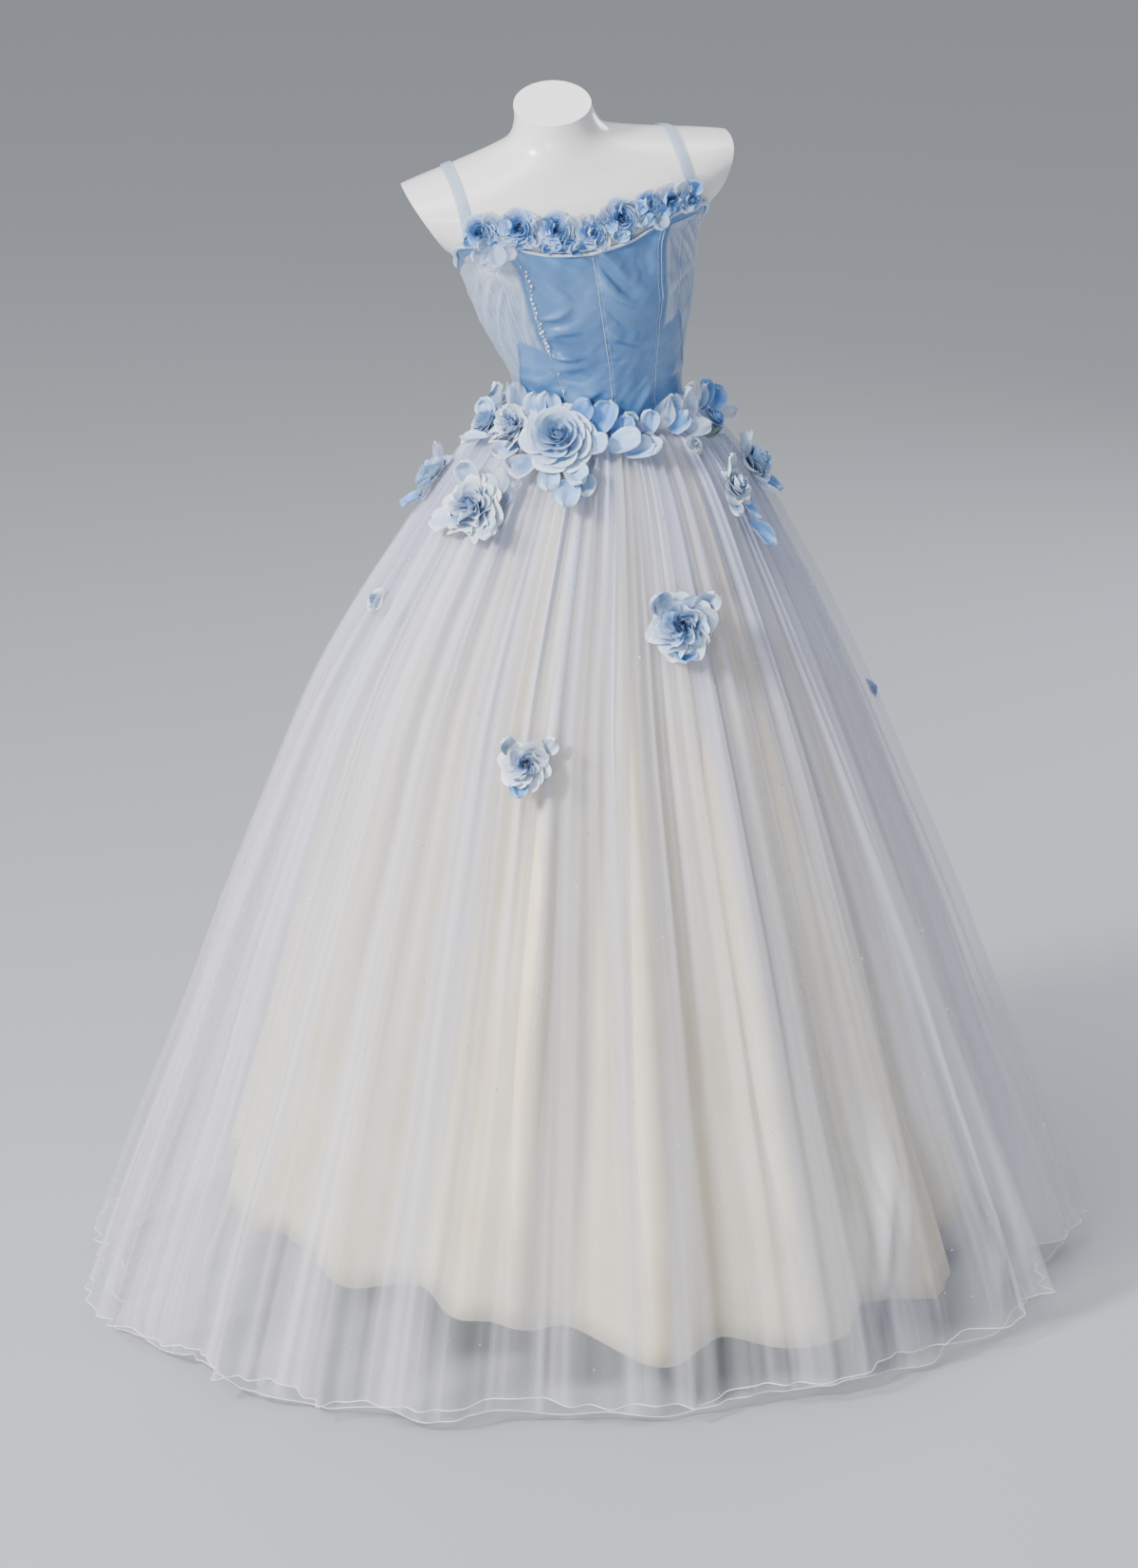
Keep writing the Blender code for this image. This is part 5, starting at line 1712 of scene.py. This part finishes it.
@dataclass
class Flowers:
    """Roses, loose petals and leaves of the neckline, the waist and the skirt."""

    finishes: Finishes
    skirt: Skirt
    seam_gap: float = 0.0003
    net_gap: float = 0.0018
    petal_rows: int = 10
    petal_columns: int = 11
    loose_rows: int = 15
    loose_columns: int = 13
    petal_half_width: float = 0.46
    # Organza knot at the top of the right princess seam: angle, height, turn, tip and size
    knot: tuple[tuple[float, float, float, float, float], ...] = (
        (-31.5, 0.001, 150, 12, 0.030), (-32.5, 0.003, 195, 20, 0.027),
        (-35, 0.000, 120, 26, 0.026), (-30, 0.002, 225, 18, 0.020), (-33, 0.005, 90, 30, 0.020),
        (-31, 0.006, -60, 34, 0.018),
    )

    def on_neckline(self, angle: float, rise: float) -> tuple[Array, Array]:
        """Anchor and facing of a flower on the form, a rise above the neckline."""

        def spot(place: float, height: float) -> Array:
            """Point on the form."""
            return TORSO.point(np.array(place), np.array(height))

        up = float(neckline_up(np.array(angle))) + rise
        across = spot(angle + 2.0, up) - spot(angle - 2.0, up)
        upward = spot(angle, up + 0.01) - spot(angle, up - 0.01)
        return spot(angle, up), facing(across, upward)

    def on_skirt(self, angle: float, drop: float) -> tuple[Array, Array]:
        """Anchor and facing of a flower on the outer net, a drop below the waist seam."""
        angles = np.array([angle - 5.0, angle, angle + 5.0])
        grid = self.skirt.shape.grid(TOP_LAYER, angles, np.linspace(0.0, 0.5, 251))
        k = int(np.argmax(grid[0, 1, 2] - grid[:, 1, 2] >= drop))
        upward = grid[max(k - 6, 0), 1] - grid[k + 6, 1]
        turn = facing(grid[k, 2] - grid[k, 0], upward)
        return grid[k, 1] + turn[:, 2] * self.net_gap, turn

    def petal(self, ring: PetalRing, around: float, half: float, ruffle: float, phase: float) -> Array:
        """Grid of one rose petal, each tucked under the next.

        Args:
            ring: The ring's sizes.
            around: Angle of the petal's middle.
            half: Half of the angle that it spans.
            ruffle: Height of its ruffles, in radii of the rose.
            phase: Where the ruffles start.

        Returns:
            Points in radii of the rose, base to tip by edge to edge.
        """
        u = np.linspace(-1.0, 1.0, self.petal_columns)[None, :]
        v = np.linspace(0.0, 1.0, self.petal_rows)[:, None] * (1.0 - 0.24 * np.abs(u) ** 2.6)
        flared = smooth_share((v - 0.70) / 0.30)
        reach = 0.05 + (ring.reach - 0.05) * np.sin(0.5 * np.pi * v) ** 0.9
        rise = ring.root_rise + (ring.rim - ring.root_rise) * v**1.8
        reach = reach + ring.flare * flared - ring.reach * v * (0.11 * u**2 + 0.06 * u)
        rise = rise - 0.75 * ring.flare * flared + ring.reach * v * (0.10 * u**2 + 0.11 * u)
        rise = rise + ruffle * v**2 * np.sin(3.0 * u + phase)
        reach = reach + 0.7 * ruffle * v**2 * np.cos(4.0 * u + phase)
        turn = np.radians(around + u * half)
        return stacked(reach * np.cos(turn), reach * np.sin(turn), rise)

    def petal_notes(self, rows: int, columns: int, ring_share: float) -> Array:
        """Petal coordinates of a petal's grid: along it, across it, and its share of the rings."""
        v = np.linspace(0.0, 1.0, rows)[:, None]
        u = np.linspace(-1.0, 1.0, columns)[None, :]
        return stacked(v, u, np.array(ring_share)).reshape(-1, 3)

    def rose(self, bloom: Bloom, anchor: Array, turn: Array) -> None:
        """One rose of overlapping petals round a rolled heart."""
        rng = np.random.RandomState(name_seed(bloom.name))
        points, notes, faces = [], [], []

        def keep(grid: Array, ring_share: float) -> None:
            """Adds a petal's points, faces and petal coordinates."""
            rows, columns = grid.shape[:2]
            faces.extend(grid_faces(rows, columns, sum(len(p) for p in points)))
            points.append(grid.reshape(-1, 3))
            notes.append(self.petal_notes(rows, columns, ring_share))

        ruffle = bloom.ruffle + 0.03
        for number, ring in enumerate(ROSE_RINGS):
            count = max(bloom.petals + ring.extra, 2)
            offset = FULL_TURN / count * 0.5 * number + rng.uniform(-12.0, 12.0)
            for k in range(count):
                around = offset + FULL_TURN * k / count + rng.uniform(-7.0, 7.0)
                half = ring.half_turn * 5.0 / max(count, 4) * rng.uniform(0.9, 1.1)
                grid = self.petal(ring, around, half, ruffle, rng.uniform(0.0, 6.3))
                # A lower ring share gives the inner rings a deeper colour: painted shade deep in the rose
                keep(grid * (1.0, 1.0, rng.uniform(0.92, 1.06)), 1.0 - number / len(ROSE_RINGS))
        spin = np.linspace(0.0, 2.6 * 2.0 * np.pi, 34)[None, :]
        level = np.linspace(0.0, 1.0, 5)[:, None]
        radius = 0.02 + 0.0085 * spin + 0.03 * level
        rise = 0.44 + 0.40 * level - 0.003 * spin
        # The rolled heart gets almost the deepest colour: painted shade at the rose's centre
        keep(stacked(radius * np.cos(spin), radius * np.sin(spin), rise), 0.08)
        world = anchor + np.concatenate(points) * bloom.size @ turn.T
        self.finish(bloom, world, faces, np.concatenate(notes))

    def loose_grid(self, size: float, phase: float, pointed: bool = False) -> Array:
        """Grid of a cupped petal, or of a pointed leaf, with a wavy rim and its base at the origin."""
        v = np.linspace(0.0, 1.0, self.loose_rows)[:, None]
        u = np.linspace(-1.0, 1.0, self.loose_columns)[None, :]
        theta = np.arccos(1.0 - 2.0 * v)
        half = self.petal_half_width * size * np.sin(theta) ** 0.8 * (0.85 - 0.15 * np.cos(theta))
        if pointed:
            half = 0.36 * size * np.sin(np.pi * v**0.8) * (1.0 - 0.25 * v)
        along = size * (v + 0.05 * np.sin(5.0 * u + phase) * v**2)
        wave = 0.10 * np.sin(3.6 * u + 2.5 * v + phase) + 0.05 * np.sin(8.0 * u + phase)
        cup = 0.25 * along**2 / size + 0.20 * size * u**2 * np.sin(np.pi * np.clip(v, 0.0, 0.9))
        return stacked(half * u, along, cup + size * wave * v**1.5 + 0.0006)

    def loose_petal(self, bloom: Bloom, anchor: Array, turn: Array) -> None:
        """One cupped petal or leaf that grows from its anchor."""
        grid = self.loose_grid(1.2 * bloom.size, bloom.angle, "leaf" in bloom.name)
        world = anchor + grid.reshape(-1, 3) @ turn.T
        faces = grid_faces(self.loose_rows, self.loose_columns)
        self.finish(bloom, world, faces, self.petal_notes(self.loose_rows, self.loose_columns, 0.55))

    def cluster(self, name: str, kind: Kind, places: list[tuple[Array, Array, float]]) -> None:
        """Many loose petals joined in one piece.

        Args:
            name: The piece's name.
            kind: Their fabric.
            places: Anchor, rotation and size of each petal.
        """
        rows, columns = self.loose_rows, self.loose_columns
        points, faces, notes = [], [], []
        for number, (anchor, turn, size) in enumerate(places):
            faces.extend(grid_faces(rows, columns, rows * columns * number))
            points.append(anchor + self.loose_grid(size, 1.7 * number).reshape(-1, 3) @ turn.T)
            notes.append(self.petal_notes(rows, columns, 0.35 + 0.12 * (number % 4)))
        material = self.finishes.petals[kind.value]
        piece = mesh_piece(name, np.concatenate(points), faces, material, {"petal": np.concatenate(notes)})
        dress_piece(piece)

    def fill(self) -> None:
        """Loose petals between the roses of the waist and the neckline."""
        for kind, petals in FILL_PETALS.items():
            places = []
            for angle, drop, size, spin, tip in petals:
                anchor, turn = self.on_skirt(angle, drop * MILLIMETRE)
                turn_out = turn @ turned("Z", spin) @ turned("X", tip)
                places.append((anchor + 0.0015 * turn[:, 2], turn_out, size * MILLIMETRE))
            self.cluster(f"waist_petals_{kind.value}", kind, places)
        rng = np.random.RandomState(5)
        for kind, spins in ((Kind.BLUE, (-75.0, 80.0)), (Kind.SHEER, (-20.0, 25.0, 170.0))):
            places = []
            for first, second in zip(NECKLINE_BLOOMS, NECKLINE_BLOOMS[1:]):
                for spin in spins:
                    angle = 0.5 * (first.angle + second.angle) + rng.uniform(-1.5, 1.5)
                    rise = 0.5 * (first.at + second.at) + rng.uniform(-0.006, 0.002)
                    anchor, turn = self.on_neckline(angle, rise)
                    tilt = turned("Z", spin + rng.uniform(-20.0, 20.0)) @ turned("X", rng.uniform(4.0, 16.0))
                    places.append((anchor + 0.001 * turn[:, 2], turn @ tilt, rng.uniform(0.020, 0.026)))
            self.cluster(f"neckline_petals_{kind.value}", kind, places)
        places = []
        for angle in np.arange(-37.0, 42.0, 2.6):
            anchor, turn = self.on_neckline(angle, 0.0068)
            spin = rng.choice((-1.0, 1.0)) * rng.uniform(50.0, 95.0)
            tilt = turned("Z", spin) @ turned("X", rng.uniform(3.0, 14.0))
            places.append((anchor + 0.0025 * turn[:, 2], turn @ tilt, rng.uniform(0.014, 0.020)))
        self.cluster("neckline_petals_low", Kind.BLUE, places)
        places = []
        for angle, rise, spin, tip, size in self.knot:
            anchor, turn = self.on_neckline(angle, rise)
            places.append((anchor + 0.0075 * turn[:, 2], turn @ turned("Z", spin) @ turned("X", tip), size))
        self.cluster("neckline_knot", Kind.SHEER, places)

    def finish(
        self, bloom: Bloom, points: Array, faces: list[tuple[int, ...]], notes: Array
    ) -> None:
        """Makes the flower's piece and fixes it to the dress."""
        veined = "leaf" in bloom.name and bloom.kind is not Kind.LEAF
        material = self.finishes.petals["sheer" if veined else bloom.kind.value]
        piece = mesh_piece(f"{bloom.name}_petals", points, faces, material, {"petal": notes})
        dress_piece(piece, [bloom.name])

    def build(self) -> None:
        """Makes every flower."""
        for blooms, place in ((NECKLINE_BLOOMS, self.on_neckline), (SKIRT_BLOOMS, self.on_skirt)):
            for bloom in blooms:
                anchor, frame_turn = place(bloom.angle, bloom.at)
                anchor = anchor + frame_turn[:, 2] * (self.seam_gap + bloom.lift)
                spin, tip = turned("Z", bloom.turn), turned("X", bloom.tip)
                if bloom.petals > 1:
                    self.rose(bloom, anchor, frame_turn @ tip @ spin)
                else:
                    self.loose_petal(bloom, anchor, frame_turn @ spin @ tip)
        self.fill()


def name_seed(name: str) -> int:
    """Small repeatable number from a name, as a seed."""
    return sum((k + 1) * ord(letter) for k, letter in enumerate(name)) % 100000


# Studio

@dataclass
class Studio:
    """Plain pale floor, soft lights and the camera at the photograph's angle."""

    finishes: Finishes
    azimuth: float = -11.0
    distance: float = 5.5
    camera_height: float = 2.5
    target: tuple[float, float, float] = (-0.037, 0.0, 0.65)
    focal_pixels: float = 5078.0
    floor_reach: float = 40.0
    floor_lines: int = 13
    light_target: tuple[float, float, float] = (0.0, 0.0, 0.8)
    # Soft lights: name, place, size in metres, power in watts and colour
    lights: tuple[tuple[str, tuple[float, float, float], float, float, str], ...] = (
        ("key_light", (-3.5, -2.0, 3.3), 0.9, 350.0, "#fffaf4"),
        ("front_light", (-2.3, -4.2, 1.2), 1.0, 56.0, "#ffffff"),
        ("fill_light", (3.2, -2.8, 1.8), 2.6, 16.0, "#eef3ff"),
        ("top_light", (0.4, 0.9, 4.2), 2.0, 60.0, "#ffffff"),
        ("back_light", (2.6, 2.6, 2.2), 1.6, 60.0, "#f2f5ff"),
    )
    sun_from: tuple[float, float, float] = (-0.55, -0.45, 1.1)
    sun_power: float = 1.7
    sun_spread: float = 35.0
    world_colour: str = "#dfe4ec"
    world_strength: float = 0.22

    def floor(self) -> None:
        """Flat floor that reaches past every view."""
        steps = np.linspace(-self.floor_reach, self.floor_reach, self.floor_lines)
        grid = stacked(steps[None, :], steps[:, None], np.array(-0.0005))
        faces = grid_faces(self.floor_lines, self.floor_lines)
        mesh_piece("studio_floor", grid, faces, self.finishes.floor)

    def aimed(self, name: str, data: bpy.types.ID, place: Vector, look: Vector, axis: str) -> Piece:
        """Lamp or camera at a place, with one of its axes along a direction."""
        item = new_object(name, data)
        item.location = place
        item.rotation_mode = "QUATERNION"
        item.rotation_quaternion = look.to_track_quat(axis, "Y")
        return item

    def light(self, name: str, place: Sequence[float], size: float, power: float, colour: str) -> None:
        """One soft area light aimed at the middle of the dress."""
        data = bpy.data.lights.new(name, "AREA")
        data.shape = "DISK"
        data.size = size
        data.energy = power
        data.color = linear(colour)[:3]
        self.aimed(name, data, Vector(place), Vector(place) - Vector(self.light_target), "Z")

    def overhead(self) -> None:
        """Broad even light from above that keeps the whole floor pale."""
        data = bpy.data.lights.new("overhead_light", "SUN")
        data.energy = self.sun_power
        data.angle = math.radians(self.sun_spread)
        self.aimed("overhead_light", data, Vector(), Vector(self.sun_from), "Z")

    def camera(self) -> None:
        """Camera fitted to the photograph."""
        turn = math.radians(self.azimuth)
        target = Vector(self.target)
        back = Vector((math.sin(turn), -math.cos(turn), 0.0)) * self.distance
        place = Vector((target.x + back.x, target.y + back.y, self.camera_height))
        data = bpy.data.cameras.new("photo_camera")
        data.sensor_width = SENSOR
        data.lens = SENSOR * self.focal_pixels / max(PHOTO_SIZE)
        camera = self.aimed("photo_camera", data, place, target - place, "-Z")
        bpy.context.scene.camera = camera

    def build(self) -> None:
        """Sets up the camera, the floor, the lights and the world."""
        self.camera()
        self.floor()
        for row in self.lights:
            self.light(*row)
        self.overhead()
        world = bpy.data.worlds.new("studio_world")
        world.use_nodes = True
        back = world.node_tree.nodes["Background"]
        back.inputs["Color"].default_value = linear(self.world_colour)
        back.inputs["Strength"].default_value = self.world_strength
        bpy.context.scene.world = world
        bpy.context.scene.cycles.transparent_max_bounces = 24
        bpy.context.scene.cycles.max_bounces = 6
        bpy.context.scene.cycles.diffuse_bounces = 2


def main() -> None:
    """Builds the dress, its form and the studio."""
    logging.basicConfig(level=logging.INFO, format="%(message)s")
    finishes = Finishes()
    Studio(finishes).build()
    DressForm(finishes).build()
    bodice = Bodice(finishes)
    bodice.build()
    SideDrapes(finishes, bodice).build()
    Straps(finishes).build()
    skirt = Skirt(finishes)
    skirt.build()
    Flowers(finishes, skirt).build()


if __name__ == "__main__":
    main()
